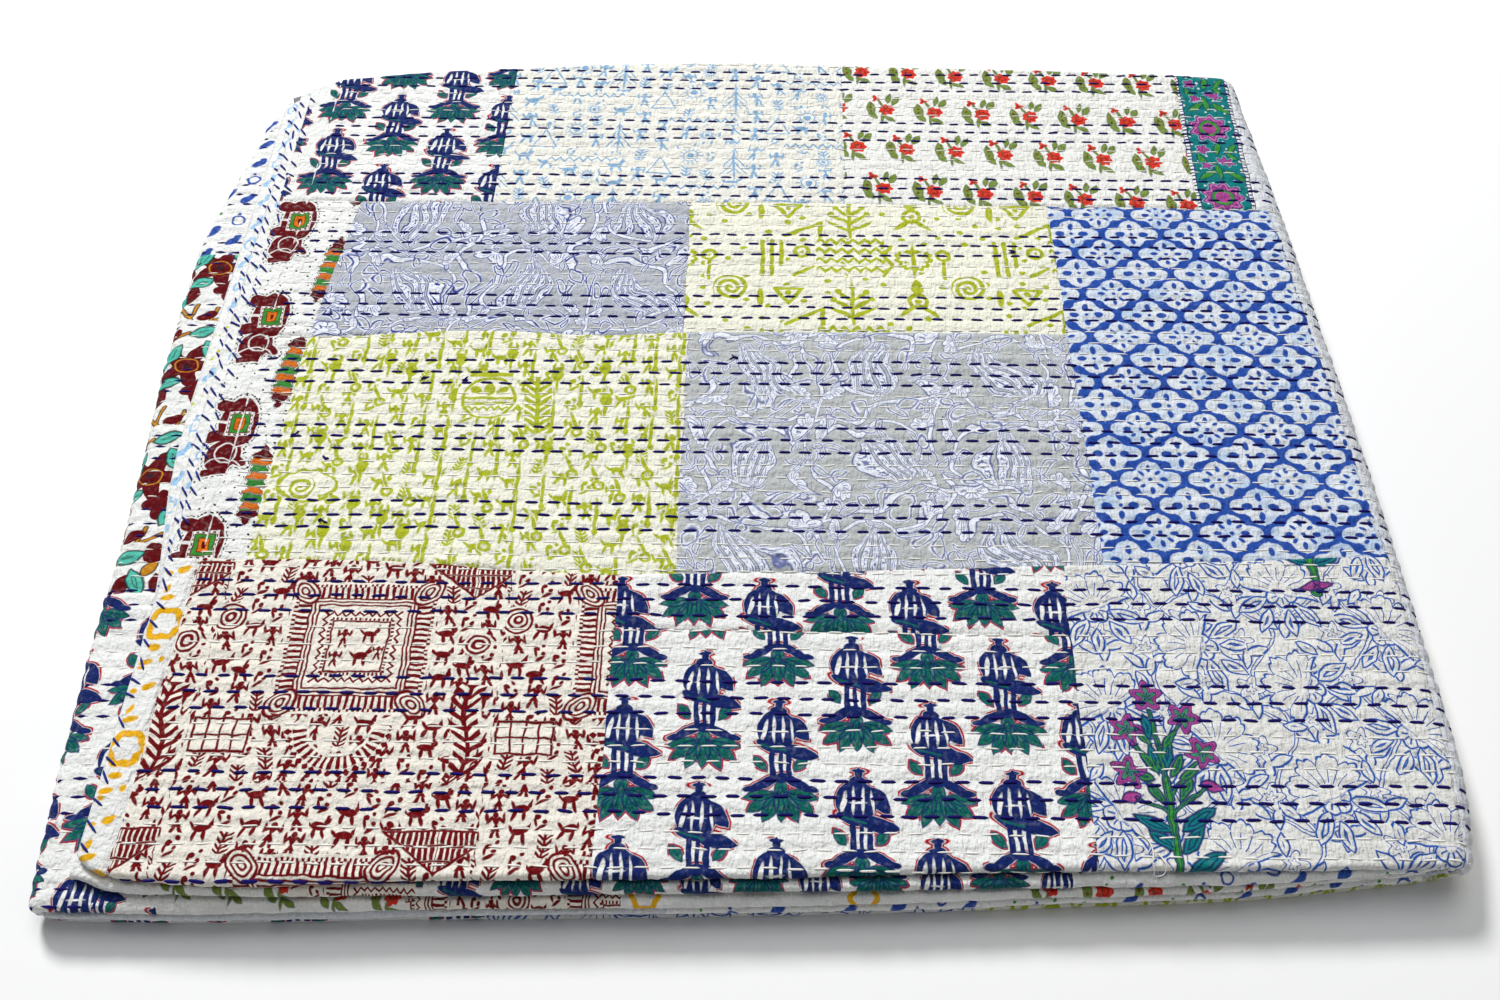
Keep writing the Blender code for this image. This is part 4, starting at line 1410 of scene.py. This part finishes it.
def elephants(cloth):
    """Maroon elephants along the crease and beaded bands beside them, on white with small black dots."""
    dots, dot_tile = repeat(cloth.slipped, 9.4, 9.2, 4.6)
    dots, _ = jittered(dots, dot_tile, 1.2)
    cloth.stamp(blob(dots, 0, 0, 0.8), BLACK)
    spot, _ = repeat(moved(cloth.slipped, -1, 386), 160, 97)
    spot = local(spot, 0, 0, (1.18, 1.18), -94)
    body = draw(spot, (blob, -6, 0, 19, 11, 4), (blob, 17, -2, 11.5, 9.5, -20),
                (stroke, 27, 1, 30, -9, 4.6), (stroke, -17, -6, -18, -12, 8.5),
                (stroke, 3, -6, 5, -12, 8.5), (blob, 20, 7.5, 5.5, 3, 60))
    cracks = nearest(outline(blob(spot, 15, -1, 6.5, 6), 0.9), stroke(spot, -6, -13, -6, -6, 2),
                     outline(blob(spot, 28, 0, 9, 11), 0.8), stroke(spot, 8, 9, 11, 2, 0.9))
    long, high = parts(local(spot, -6, 0.5, turn=6).vector("ABSOLUTE"))
    rug = (long - 8.6).within(high - 7.4)
    beading = (long.fold(1.5) - 0.75) * (high.fold(1.5) - 0.75)
    cloth.stamp(outline(body - 1.3, 0.8), BLACK, beading.above(0))
    cloth.stamp(body, DARK_MAROON, cloth.ink)
    cloth.stamp(cracks, OFF_WHITE, 0.85)
    cloth.stamp(rug, OFF_WHITE)
    cloth.stamp(outline(rug + 0.9, 1), DARK_MAROON, beading.above(0))
    cloth.stamp(rug + 1.9, LEAF_GREEN)
    cloth.stamp(rug + 4.4, ORANGE)
    cloth.stamp(nearest(outline(rug + 1.9, 0.6), outline(rug + 4.4, 0.5), rug + 6.4), DARK_MAROON)
    beaded_band(cloth)


def rings(cloth):
    """Yellow six-sided rings, hooks and dots along the hem."""
    spot, _ = repeat(moved(cloth.slipped, -9, 61), 160, 81)
    six = outline(flower(spot, 0, 0, 6, 9.4, 0.7), 4.3)
    marks = draw(spot, (blob, -3, 18, 4.6, 2, 14), (blob, -5, 24.5, 3.2, 1.7, 60),
                 (blob, 4, -42, 3.3, 2.7, 20), (blob, 2, 39, 4, 2.6, 30), (blob, -1.5, -16, 4, 2.4),
                 (blob, -4, -26, 4.4, 2, 14), (blob, -6, -30, 2.2, 1.4), (blob, 5, -24, 1.6, 2.2),
                 (blob, -6, 36, 2.2, 1.6))
    cloth.stamp(nearest(six, marks), YELLOW, cloth.ink, 0.4)


def pale_figures(cloth):
    """Pale blue figures, suns, firs and zigzag lines."""
    spot, _ = repeat(moved(cloth.slipped, 300, 636), 92, 78, 30)
    fir = mirrored(local(spot, 26, 2))
    a, b = parts(fir)
    firs = ((b + a * 1.4).fold(3.4) - 0.95).within(a * 2.6 + b - 17).within(-b - 14)
    x, y = parts(spot)
    lines = abs(wavy(spot, 3.6, 4.4) + 29).within(abs(x) - 26) - 1
    tent = mirrored(local(spot, -32, -6))
    long, high = parts(tent)
    tents = outline((long * 0.9 + high * 0.45 - 6).within(-high - 6), 1.2)
    signs = nearest(sun(spot, -8, 8, 9.5), firs, blob(fir, 0, -2, 1.1, 18), lines, tents,
                    sun(spot, 4, 33, 6))
    free = nearest(blob(spot, -8, 8, 11.5), blob(spot, 26, 2, 9, 19), blob(spot, 4, 33, 8),
                   blob(spot, -32, -4, 9, 12), (abs(y + 27) - 4).within(abs(x) - 27))
    crowd = small_crowd(cloth.slipped, 18, 22, 2.5, 1.3).within(1 - free)
    cloth.stamp(nearest(signs, crowd) - 0.05, PALE_BLUE, cloth.ink * 0.8 + 0.05, 0.35)


def red_flowers(cloth):
    """Red blooms with olive leaves, in offset rows on a slight slant."""
    slanted = local(cloth.slipped, 560, 620, turn=-4)
    red, green, dark = [], [], []
    for start in ((0, 0), (17, 47)):
        own = local(repeat(moved(slanted, *start), 38.5, 94)[0], 0, 0, (1.25, 1.3))
        red.append(nearest(flower(own, 3, -2, 7, 4.9, 0.6), flower(own, -4.4, 8, 3, 2.4, 0.9)))
        green.append(draw(own, (leaf, -7, -2, 7.5, 2.8, 100), (leaf, -5.4, -8, 4.5, 2.2, -50),
                          (leaf, 8.4, 6.8, 4.6, 2.2, 62), (leaf, 4, 8.6, 4.4, 1.7, 80),
                          (blob, 0.5, -9.5, 0.9, 4.6), (blob, -1, 3.5, 0.8, 5, 30),
                          (leaf, 4.6, -10.4, 4.8, 1.8, -30)))
        dark.append(draw(own, (ring, 3.2, -2.2, 2, 0.7), (blob, -7.4, 0, 0.9), (blob, -7, -4, 0.9),
                         (blob, -4.6, 7.6, 0.8), (blob, -6.8, 3, 0.6)))
    cloth.stamp(nearest(*green), OLIVE, cloth.ink)
    cloth.stamp(nearest(*red), RED, cloth.ink)
    cloth.stamp(nearest(*dark), colour(110, 30, 30), 0.75)
    cloth.stamp(outline(nearest(*green), 0.5), colour(60, 80, 50), 0.6)


def teal_strip(cloth):
    """Pink rosettes and green leaves on teal, between white borders with navy dashes."""
    spot, _ = repeat(local(cloth.slipped, 706, 605, turn=-2.9), 60, 80)
    rosette = flower(spot, -1, 0, 9, 14.5, 2)
    small = draw(spot, (flower, 9, 43, 8, 5.8, 1.4), (flower, -8, 36, 5, 3.4, 1),
                 (flower, 6, -41, 8, 6.2, 1.6), (flower, -10, -26, 5, 4.2, 1.2))
    leaves = draw(spot, (leaf, -9, 25, 9, 2.6, 40), (leaf, 12, 25, 10, 2.6, 140),
                  (leaf, 0, 30, 9, 2.2, 100), (leaf, -11, -40, 10, 2.6, 110), (leaf, 2, -24, 8, 2.4, 80),
                  (leaf, 13, -24, 7, 2.2, 60), (leaf, 12, -33, 6, 2, -40))
    dots, dot_tile = repeat(cloth.slipped, 8.2, 9.6, 4.8)
    dots, _ = jittered(dots, dot_tile, 1.6)
    cloth.stamp(blob(dots, 0, 0, 1), OFF_WHITE, 0.8)
    cloth.stamp(leaves - 0.5, NAVY_INK)
    cloth.stamp(leaves, LEAF_GREEN, cloth.ink)
    cloth.stamp(nearest(rosette, small), PINK, cloth.ink)
    cloth.stamp(outline(blob(spot, -1, 0, 7, 7.6), 2.6), LEAF_GREEN)
    cloth.stamp(outline(nearest(rosette, small) - 0.9, 0.8), colour(176, 214, 222), 0.7)
    cloth.stamp(outline(rosette + 2.1, 1.3), colour(214, 150, 200), 0.6)
    lines = nearest(outline(rosette + 4.2, 0.8), outline(nearest(rosette, small), 0.7), small + 4.6,
                    outline(blob(spot, -1, 0, 7, 7.6) - 1.6, 0.6))
    cloth.stamp(lines, NAVY_INK, 0.8)
    x, y = parts(spot)
    cloth.stamp(18.6 - abs(x), OFF_WHITE)
    rungs = nearest(outline(abs(x) - 18.8, 0.8), outline(abs(x) - 22.2, 0.7),
                    (y.fold(1.9) - 0.75).within(abs(abs(x) - 20.5) - 1.7))
    cloth.stamp(rungs, NAVY_INK, cloth.ink)


def maroon_floral(cloth):
    """Maroon blooms on ochre branches with aqua leaves."""
    spot, _ = repeat(moved(cloth.slipped, -54, 352), 68, 96, 46)
    spot = local(spot, 0, 0, (1.28, 1.2))
    branches = draw(spot, (stroke, -16, -30, -2, -46, 2.4), (stroke, -2, -46, 14, -34, 2.2),
                    (stroke, -8, -38, -6, -27, 2), (stroke, 3, -43, 6, -30, 2),
                    (stroke, -20, -39, -2, -46, 1.8), (stroke, 18, -20, 8, -8, 2),
                    (stroke, -16, 25, -6, 30, 2.2), (leaf, 14, 24, 5.4, 3.4, 60))
    bloom = draw(spot, (flower, -1, 4, 5, 12.6, 4.6), (flower, 9, -15, 4, 7.6, 2.2),
                 (blob, 14, 34, 5.4, 6.4), (leaf, -12, -19, 8, 5, 80), (blob, -15, 30, 5, 4.4),
                 (blob, 1, -36, 6, 3.4, 30), (leaf, -20, 0, 7, 4.6, 70), (leaf, 21, 14, 8, 4.8, 110),
                 (leaf, 20, -32, 7, 4.4, 40), (leaf, -22, -30, 6, 3.6, 20))
    leaves = draw(spot, (leaf, -12, 12, 10, 5, 62), (leaf, 9, 16, 9, 4.4, 118),
                  (leaf, -9, -9, 8, 4.2, 200), (leaf, 15, -20, 9, 4.2, 70), (leaf, 2, 31, 8, 4, 20),
                  (leaf, -17, -22, 6, 3, 100))
    cloth.stamp(branches, OCHRE, cloth.ink)
    cloth.stamp(outline(branches, 0.8), BLACK, 0.85)
    cloth.stamp(bloom, DARK_MAROON, cloth.ink * 0.4 + 0.6)
    cloth.stamp(leaves, AQUA, cloth.ink)
    marks = nearest(outline(leaves, 0.9), outline(leaves + 2.4, 0.4), blob(spot, -1, 4, 2))
    cloth.stamp(marks, BLACK, 0.85)
    cloth.stamp(outline(blob(spot, -1, 4, 6.4, 5.4), 0.7), OCHRE)


def blobs(cloth, dye, second):
    """Loose brush marks in one colour, with dots of another."""
    size = 1.15
    spot, tile = repeat(cloth.slipped, 15 * size, 19 * size, 7 * size)
    spot, kind = jittered(spot, tile, 1.6 * size)
    marks = nearest(only(draw(spot, (blob, 0, 0, 5.6 * size, 2.8 * size, 35), (blob, 3, 4, 3, 2)),
                         kind.below(0.5)),
                    only(draw(spot, (ring, 0, 0, 4 * size, 1.7), (blob, -1, 6 * size, 1.4)),
                         between(kind, 0.5, 0.75)))
    dots = only(draw(spot, (blob, 1, 1, 1.5), (blob, -4, -4, 1.2)), kind.above(0.75))
    cloth.stamp(marks, dye, cloth.ink, 0.4)
    cloth.stamp(dots, second, cloth.ink, 0.4)


def plain(cloth):
    """Unprinted white cotton with a faint grey stripe."""
    faint = (parts(cloth.slipped)[0] * 0.9).sine().times(0.1, 0.1)
    cloth.wash(faint, colour(186, 192, 204))


def backing(name):
    """Plain cotton for the inner plies."""
    finish = Finish(name)
    flat = finish.add("TexCoord", {}, {}, "Object")
    at = scaled(flat, 1 / MM)
    return finish_cloth(finish, at, mix(speckle(at, 0.02), CREAM, colour(205, 208, 214)))


PRINTS = {  # the chart, the ground's colour, how far the block slips, and the chart's own numbers
    "rings": (rings, OFF_WHITE, 1.2),
    "village": (village, colour(246, 240, 228), 1.3),
    "trees": (trees, OFF_WHITE, 1.1, (273.5, 55.5)),
    "trees_shifted": (trees, OFF_WHITE, 1.1, (353.5, 137.5)),
    "trees_left": (trees, OFF_WHITE, 1.1, (-60.5, 92)),
    "floral": (floral, colour(233, 233, 229), 1.4),
    "elephants": (elephants, OFF_WHITE, 1.1),
    "ogee": (ogee, colour(228, 233, 238), 0.9),
    "lime_crowd": (lime_crowd, IVORY, 1.3),
    "lime_signs": (lime_signs, IVORY, 1.2),
    "grey_vine": (grey_vine, GREY_GROUND, 1, 0.5),
    "pale_vine": (grey_vine, colour(190, 194, 194), 1, 0.3),
    "figures": (pale_figures, colour(242, 241, 232), 1.2),
    "red_flowers": (red_flowers, colour(243, 243, 238), 1.2),
    "teal": (teal_strip, TEAL, 0.8),
    "maroon_floral": (maroon_floral, OFF_WHITE, 1.4),
    "blue_blobs": (blobs, OFF_WHITE, 2, colour(48, 82, 168), LEAF_GREEN),
    "light_blobs": (blobs, OFF_WHITE, 2, colour(160, 202, 236), colour(200, 206, 70)),
    "plain": (plain, colour(226, 229, 233), 0.8),
}


def print_finish(name):
    """The material of one print, made once."""
    if name in bpy.data.materials:
        return bpy.data.materials[name]
    chart, ground, wander, *numbers = PRINTS[name]
    cloth = Print(name, ground, wander)
    chart(cloth, *numbers)
    return finish_cloth(cloth.finish, cloth.at, cloth.tone)


NAVY_THREAD = colour(26, 18, 104)
HEM_THREAD = colour(40, 50, 138)
WHITE_THREAD = colour(246, 244, 238)
FLOOR_TONE = colour(250, 250, 250)
FUZZ_SCALE, TWIST_SCALE = 900, 2400  # features a metre
TWIST_DEPTH = 0.0002  # metres
HEM_MARGIN = 2.5  # from the back hem to the nearest stitch
ROUND_RIGHT = 1.5  # how far round the right fold the stitches go, in radians
STITCHED = (  # home, the thread's sides and cuts, left and right ends
    ("top", (4, THREAD_CUTS), 4.0, 760.0),
    ("left", (4, (0.0,)), -82.0, -16.0),
    ("under", (3, ()), -34.0, 760.0),
)


def thread_finish(name, tone):
    """Matt cotton thread with its twist."""
    finish = Finish(name, 0.85)
    at = finish.add("TexCoord", {}, {}, "Object")
    fuzz = speckle(at, FUZZ_SCALE, 2, "3D")
    twist = speckle(at, TWIST_SCALE, 1, "3D")
    shade = fuzz * 0.35 + 0.78
    finish.feed("Base Color", finish.add("VectorMath", {"operation": "SCALE"}, {0: tone[:3], 3: shade}))
    bump = {"Strength": 0.6, "Distance": TWIST_DEPTH, "Height": twist}
    finish.feed("Normal", finish.add("Bump", {}, bump))
    return finish.material


def thread_kinds(colours):
    """The two threads: a name for their pieces, their finish, and whether they sew the navy lines."""
    made = []
    for name, tone, wanted in (("navy", colours.navy, True), ("white", colours.white, False)):
        material = bpy.data.materials.get(f"{name}_thread") or thread_finish(f"{name}_thread", tuple(tone))
        made.append((name, material, wanted))
    return made


def running_places(home, rows, left, right, mean_length):
    """The running stitches of some lines, without those past the cloth's ends."""
    u, v, length, tilt = stitch_places(rows, left, right, SEED + len(home) + rows[0])
    length = length * mean_length / STITCH_LENGTH
    shown = (v > lip_centre(home, u) - 3 * LIP_RADIUS) & (v < back_end(home, u) - HEM_MARGIN)
    last_right = right_centre(v) + RIGHT_OUTSIDE * ROUND_RIGHT
    if home == "top":
        shown &= u < last_right
    elif home == "left":
        shown &= (u > left_centre(v) - LEFT_OUTSIDE * 3) & (u < hem_edge(v) + 2)
    else:
        shown &= (u > left_centre(v) + 4) & (u < last_right)
    return u[shown], v[shown], length[shown], tilt[shown]


def stitched_rise(home):
    """The relief of one side of the quilt, without its seams."""
    def rise(u, v):
        found = pressed(home, u, v, relief(u + PRINT_OFFSETS[home], v))
        return found - UNDER_THREAD_SINK if home == "under" else found

    return rise


WHIP_WIDTH, WHIP_LENGTH, WHIP_SLANT = 1.4, 9.6, -0.86  # the slant is in radians
WHIP_INWARDS = 3.6  # how far in from the hem a stitch's middle lies
WHIPS = (  # name, ply, height of its top, first v, last v, spacing
    ("whip_top", "A", PACK_HALF, 4.0, 640.0, 12.5),
    ("whip_two", "B", 2.625, 170.0, 632.0, 12.0),
    ("whip_three", "C", -0.425, 330.0, 625.0, 14.0),
)


def whip_stitches():
    """Slanted stitches that hold the hems, one row for each ply that shows."""
    thread = thread_shape(4, THREAD_CUTS)
    chance = np.random.default_rng(SEED + 40)
    for name, ply, height, first, last, spacing in WHIPS:
        v = np.arange(first, last, spacing)
        v = (v + chance.normal(0, 1.6, len(v)))[:, None]
        length = chance.normal(WHIP_LENGTH, 1.0, len(v))[:, None]
        slant = chance.normal(WHIP_SLANT, 0.16, len(v))[:, None]
        u = hem_edge(v, ply) + chance.normal(WHIP_INWARDS, 0.8, len(v))[:, None]
        u, v, arch = spread(thread, u, v, length, slant, WHIP_WIDTH)
        down = 2.4 * rolled(u - hem_edge(v, ply), 1.6)
        rise = 0.9 + 0.6 * arch + thread[0][None, :, 2] - down
        yield add_threads(name, "top", thread, lay_flat("top", u, v, height + rise))


KNOTS = ((118, 338), (62, 268), (67, 163), (72, 218), (146, 336), (39, 287), (533, 463), (330, 357))
KNOT_LENGTHS, KNOT_WIDTHS = (3.0, 5.0, 6.0), (2.2, 0.9, 0.8)  # of the knot and its two ends


def knots():
    """Small knots of navy thread, each with two cut ends."""
    thread = thread_shape(5, (-0.28, 0.0, 0.28))
    chance = np.random.default_rng(SEED + 50)
    found = []
    for u, v in KNOTS:
        for long in KNOT_LENGTHS:
            place = u + chance.normal(0, 0.8), v + chance.normal(0, 0.6)
            found.append((*place, long, chance.uniform(-0.9, 0.9)))
    width = np.array(KNOT_WIDTHS * len(KNOTS))[:, None]
    return lay_stitches("knots", thread, "top", np.array(found).T, stitched_rise("top"), width, 0.9)


SLACK_RADIUS, SLACK_RISE = 0.35, 0.3
SLACK = ((556, 19, 0.2), (561, 15, 1.0), (563, 8, 2.0), (562, 1, 2.4), (566, -3, 2.4), (569, 1, 2.0),
         (566, 7, 0.3))  # (u, v, rise)


def slack_thread():
    """A loop of white thread that was never drawn tight."""
    u, v, rise = (np.array(column, float) for column in zip(*SLACK))
    points = lay("top", u, v, relief(u, v) + rise + SLACK_RISE)
    line = bpy.data.curves.new("slack_thread", "CURVE")
    line.dimensions = "3D"
    line.bevel_depth = SLACK_RADIUS * MM
    line.bevel_resolution = 1
    line.resolution_u = 6
    line.use_fill_caps = True
    spline = line.splines.new("BEZIER")
    spline.bezier_points.add(len(points) - 1)
    for knot, point in zip(spline.bezier_points, points):
        knot.co = point
        knot.handle_left_type = knot.handle_right_type = "AUTO"
    drawn = bpy.data.objects.new("slack_thread_line", line)
    bpy.context.scene.collection.objects.link(drawn)
    bpy.context.view_layer.update()
    mesh = bpy.data.meshes.new_from_object(drawn.evaluated_get(bpy.context.evaluated_depsgraph_get()))
    bpy.data.objects.remove(drawn)
    piece = bpy.data.objects.new("slack_thread", mesh)
    bpy.context.scene.collection.objects.link(piece)
    return piece


# The stage
CAMERA_AT = (348.7, -249.2, 732.65)  # in the cloth's own millimetres
CAMERA_DOWN, CAMERA_TURN = 55.0, 0.72  # degrees
CAMERA_LENS = 31.73
LAMPS = (  # name, place, size, watts
    ("key", (-1.5, 2.8, 3.4), 1.1, 188),
    ("overhead", (0.2, 0.9, 3.4), 2.4, 39.5),
)
SKY_TONE, SKY_STRENGTH = (0.96, 0.98, 1.0, 1.0), 0.17


def set_floor(tone):
    """A plain pale floor."""
    bpy.ops.mesh.primitive_plane_add(size=14)
    floor = bpy.context.object
    floor.name = "floor"
    finish = Finish("floor")
    finish.shader.inputs["Base Color"].default_value = tone
    floor.data.materials.append(finish.material)


def set_lights(scene):
    """Even studio light, with a large soft lamp behind the quilt to its left."""
    world = bpy.data.worlds.new("studio")
    scene.world = world
    world.use_nodes = True
    sky = world.node_tree.nodes["Background"]
    sky.inputs["Color"].default_value = SKY_TONE
    sky.inputs["Strength"].default_value = SKY_STRENGTH
    for name, place, size, power in LAMPS:
        lamp = bpy.data.lights.new(name, "AREA")
        lamp.shape = "DISK"
        lamp.size = size
        lamp.energy = power
        lit = bpy.data.objects.new(name, lamp)
        lit.location = place
        lit.rotation_euler = (-Vector(place)).to_track_quat("-Z", "Y").to_euler()
        scene.collection.objects.link(lit)
    scene.view_settings.view_transform = "Standard"


def set_camera(scene):
    """The camera above the front edge, looking down at the quilt."""
    camera = bpy.data.objects.new("camera", bpy.data.cameras.new("camera"))
    camera.data.lens = CAMERA_LENS
    camera.data.sensor_width = 36.0
    camera.location = in_frame(*CAMERA_AT)
    camera.rotation_euler = (radians(90 - CAMERA_DOWN), 0, radians(CAMERA_TURN))
    scene.collection.objects.link(camera)
    scene.camera = camera


# The tool: one operator for each group of pieces
class QuiltSizes(bpy.types.PropertyGroup):
    """Sizes that a user would change."""

    stitch_width: bpy.props.FloatProperty(
        name="Thread width", description="Width of the running stitches' thread", default=THREAD_WIDTH * MM,
        unit="LENGTH", min=0.0002, max=0.003)
    stitch_length: bpy.props.FloatProperty(
        name="Stitch length", description="Mean length of a running stitch", default=STITCH_LENGTH * MM,
        unit="LENGTH", min=0.003, max=0.012)
    patch_step: bpy.props.FloatProperty(
        name="Patch step", description="Distance between the points of a patch", default=STEP * MM,
        unit="LENGTH", min=0.0015, max=0.01)


class QuiltColours(bpy.types.PropertyGroup):
    """Colours that a user would change."""

    navy: bpy.props.FloatVectorProperty(
        name="Navy thread", description="Colour of the dark running stitches", subtype="COLOR", size=3,
        default=NAVY_THREAD[:3], min=0, max=1)
    white: bpy.props.FloatVectorProperty(
        name="White thread", description="Colour of the pale running stitches", subtype="COLOR", size=3,
        default=WHITE_THREAD[:3], min=0, max=1)
    floor: bpy.props.FloatVectorProperty(
        name="Floor", description="Colour of the floor", subtype="COLOR", size=3,
        default=FLOOR_TONE[:3], min=0, max=1)


def keep(piece, finish):
    """Gives a piece its finish and its place on the quilt."""
    piece.data.materials.append(finish)
    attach(piece, "root")
    return piece


def declare_patch(piece, size, print_name):
    """Gives a sheet its print. Its size is not used."""
    keep(piece, print_finish(print_name))


def lay_patches(table, step):
    """Lays each patch of a table on its pack."""
    for name, print_name, home, *edges in table:
        declare_patch(*make_patch(name, home, *edges, step=step), print_name)


class QUILT_OT_cloth(bpy.types.Operator):
    """Makes the folded cloth that the patches are sewn on"""

    bl_idname = "quilt.cloth"
    bl_label = "Folded cloth"

    def execute(self, context):
        cloth = keep(make_cloth(), backing("backing"))
        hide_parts("quilt")
        return {"FINISHED"}


class QUILT_OT_patches(bpy.types.Operator):
    """Lays the printed patches on the top and round the left fold"""

    bl_idname = "quilt.patches"
    bl_label = "Patches"

    def execute(self, context):
        lay_patches(PATCHES, context.scene.quilt_sizes.patch_step / MM)
        return {"FINISHED"}


class QUILT_OT_underside(bpy.types.Operator):
    """Lays the patches of the underside"""

    bl_idname = "quilt.underside"
    bl_label = "Underside"

    def execute(self, context):
        lay_patches(UNDER_PATCHES, UNDER_STEP)
        return {"FINISHED"}


class QUILT_OT_lips(bpy.types.Operator):
    """Lays the strips of cloth that show round the lower front lips and at the lower plies' hems"""

    bl_idname = "quilt.lips"
    bl_label = "Lips and hems"

    def execute(self, context):
        for make, table in ((make_lip, LIPS), (make_strip, PLY_STRIPS)):
            for name, print_name, *places in table:
                declare_patch(*make(name, *places), print_name)
        return {"FINISHED"}


class QUILT_OT_running_stitches(bpy.types.Operator):
    """Sews the lines of navy and white running stitch"""

    bl_idname = "quilt.running_stitches"
    bl_label = "Running stitches"

    def execute(self, context):
        sizes = context.scene.quilt_sizes
        for thread_name, finish, wanted in thread_kinds(context.scene.quilt_colours):
            for home, shape, left, right in STITCHED:
                thread = thread_shape(*shape)
                rows = [r for r in range(len(LINES)) if NAVY[r] == wanted]
                places = running_places(home, rows, left, right, sizes.stitch_length / MM)
                rise = stitched_rise(home)
                width = sizes.stitch_width / MM * (1 if wanted else WHITE_SHARE)
                thick = (THREAD_RISE if home == "top" else UNDER_THREAD) * (1 if wanted else WHITE_SHARE)
                piece = lay_stitches(f"{thread_name}_{home}", thread, home, places, rise, width, thick)
                keep(piece, finish)
        return {"FINISHED"}


class QUILT_OT_hem_stitches(bpy.types.Operator):
    """Sews the slanted stitches over the hems, the knots and the slack thread"""

    bl_idname = "quilt.hem_stitches"
    bl_label = "Hem stitches"

    def execute(self, context):
        colours = context.scene.quilt_colours
        navy, white = (finish for _, finish, _ in thread_kinds(colours))
        hem_thread = thread_finish("hem_thread", HEM_THREAD)
        for piece in whip_stitches():
            keep(piece, hem_thread)
        keep(knots(), navy)
        keep(slack_thread(), white)
        return {"FINISHED"}


class QUILT_OT_stage(bpy.types.Operator):
    """Sets the floor, the soft light and the camera"""

    bl_idname = "quilt.stage"
    bl_label = "Stage"

    def execute(self, context):
        floor_colour = (*context.scene.quilt_colours.floor, 1.0)
        set_floor(floor_colour)
        set_lights(context.scene)
        set_camera(context.scene)
        return {"FINISHED"}


class QUILT_PT_panel(bpy.types.Panel):
    """Lists the quilt's steps"""

    bl_idname = "QUILT_PT_panel"
    bl_label = "Kantha quilt"
    bl_space_type = "VIEW_3D"
    bl_region_type = "UI"
    bl_category = "Quilt"

    def draw(self, context):
        for group in (context.scene.quilt_sizes, context.scene.quilt_colours):
            for name in group.__annotations__:
                self.layout.prop(group, name)
        for step in STEPS:
            self.layout.operator(step.bl_idname)


STEPS = (QUILT_OT_cloth, QUILT_OT_patches, QUILT_OT_underside, QUILT_OT_lips, QUILT_OT_running_stitches,
         QUILT_OT_hem_stitches, QUILT_OT_stage)
CLASSES = (QuiltSizes, QuiltColours, *STEPS, QUILT_PT_panel)


def register():
    for entry in CLASSES:
        bpy.utils.register_class(entry)
    bpy.types.Scene.quilt_sizes = bpy.props.PointerProperty(type=QuiltSizes)
    bpy.types.Scene.quilt_colours = bpy.props.PointerProperty(type=QuiltColours)


def unregister():
    del bpy.types.Scene.quilt_colours
    del bpy.types.Scene.quilt_sizes
    for entry in reversed(CLASSES):
        bpy.utils.unregister_class(entry)


def main():
    register()
    bpy.ops.quilt.cloth()
    bpy.ops.quilt.patches()
    bpy.ops.quilt.underside()
    bpy.ops.quilt.lips()
    bpy.ops.quilt.running_stitches()
    bpy.ops.quilt.hem_stitches()
    bpy.ops.quilt.stage()
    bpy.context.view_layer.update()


if __name__ == "__main__":
    main()
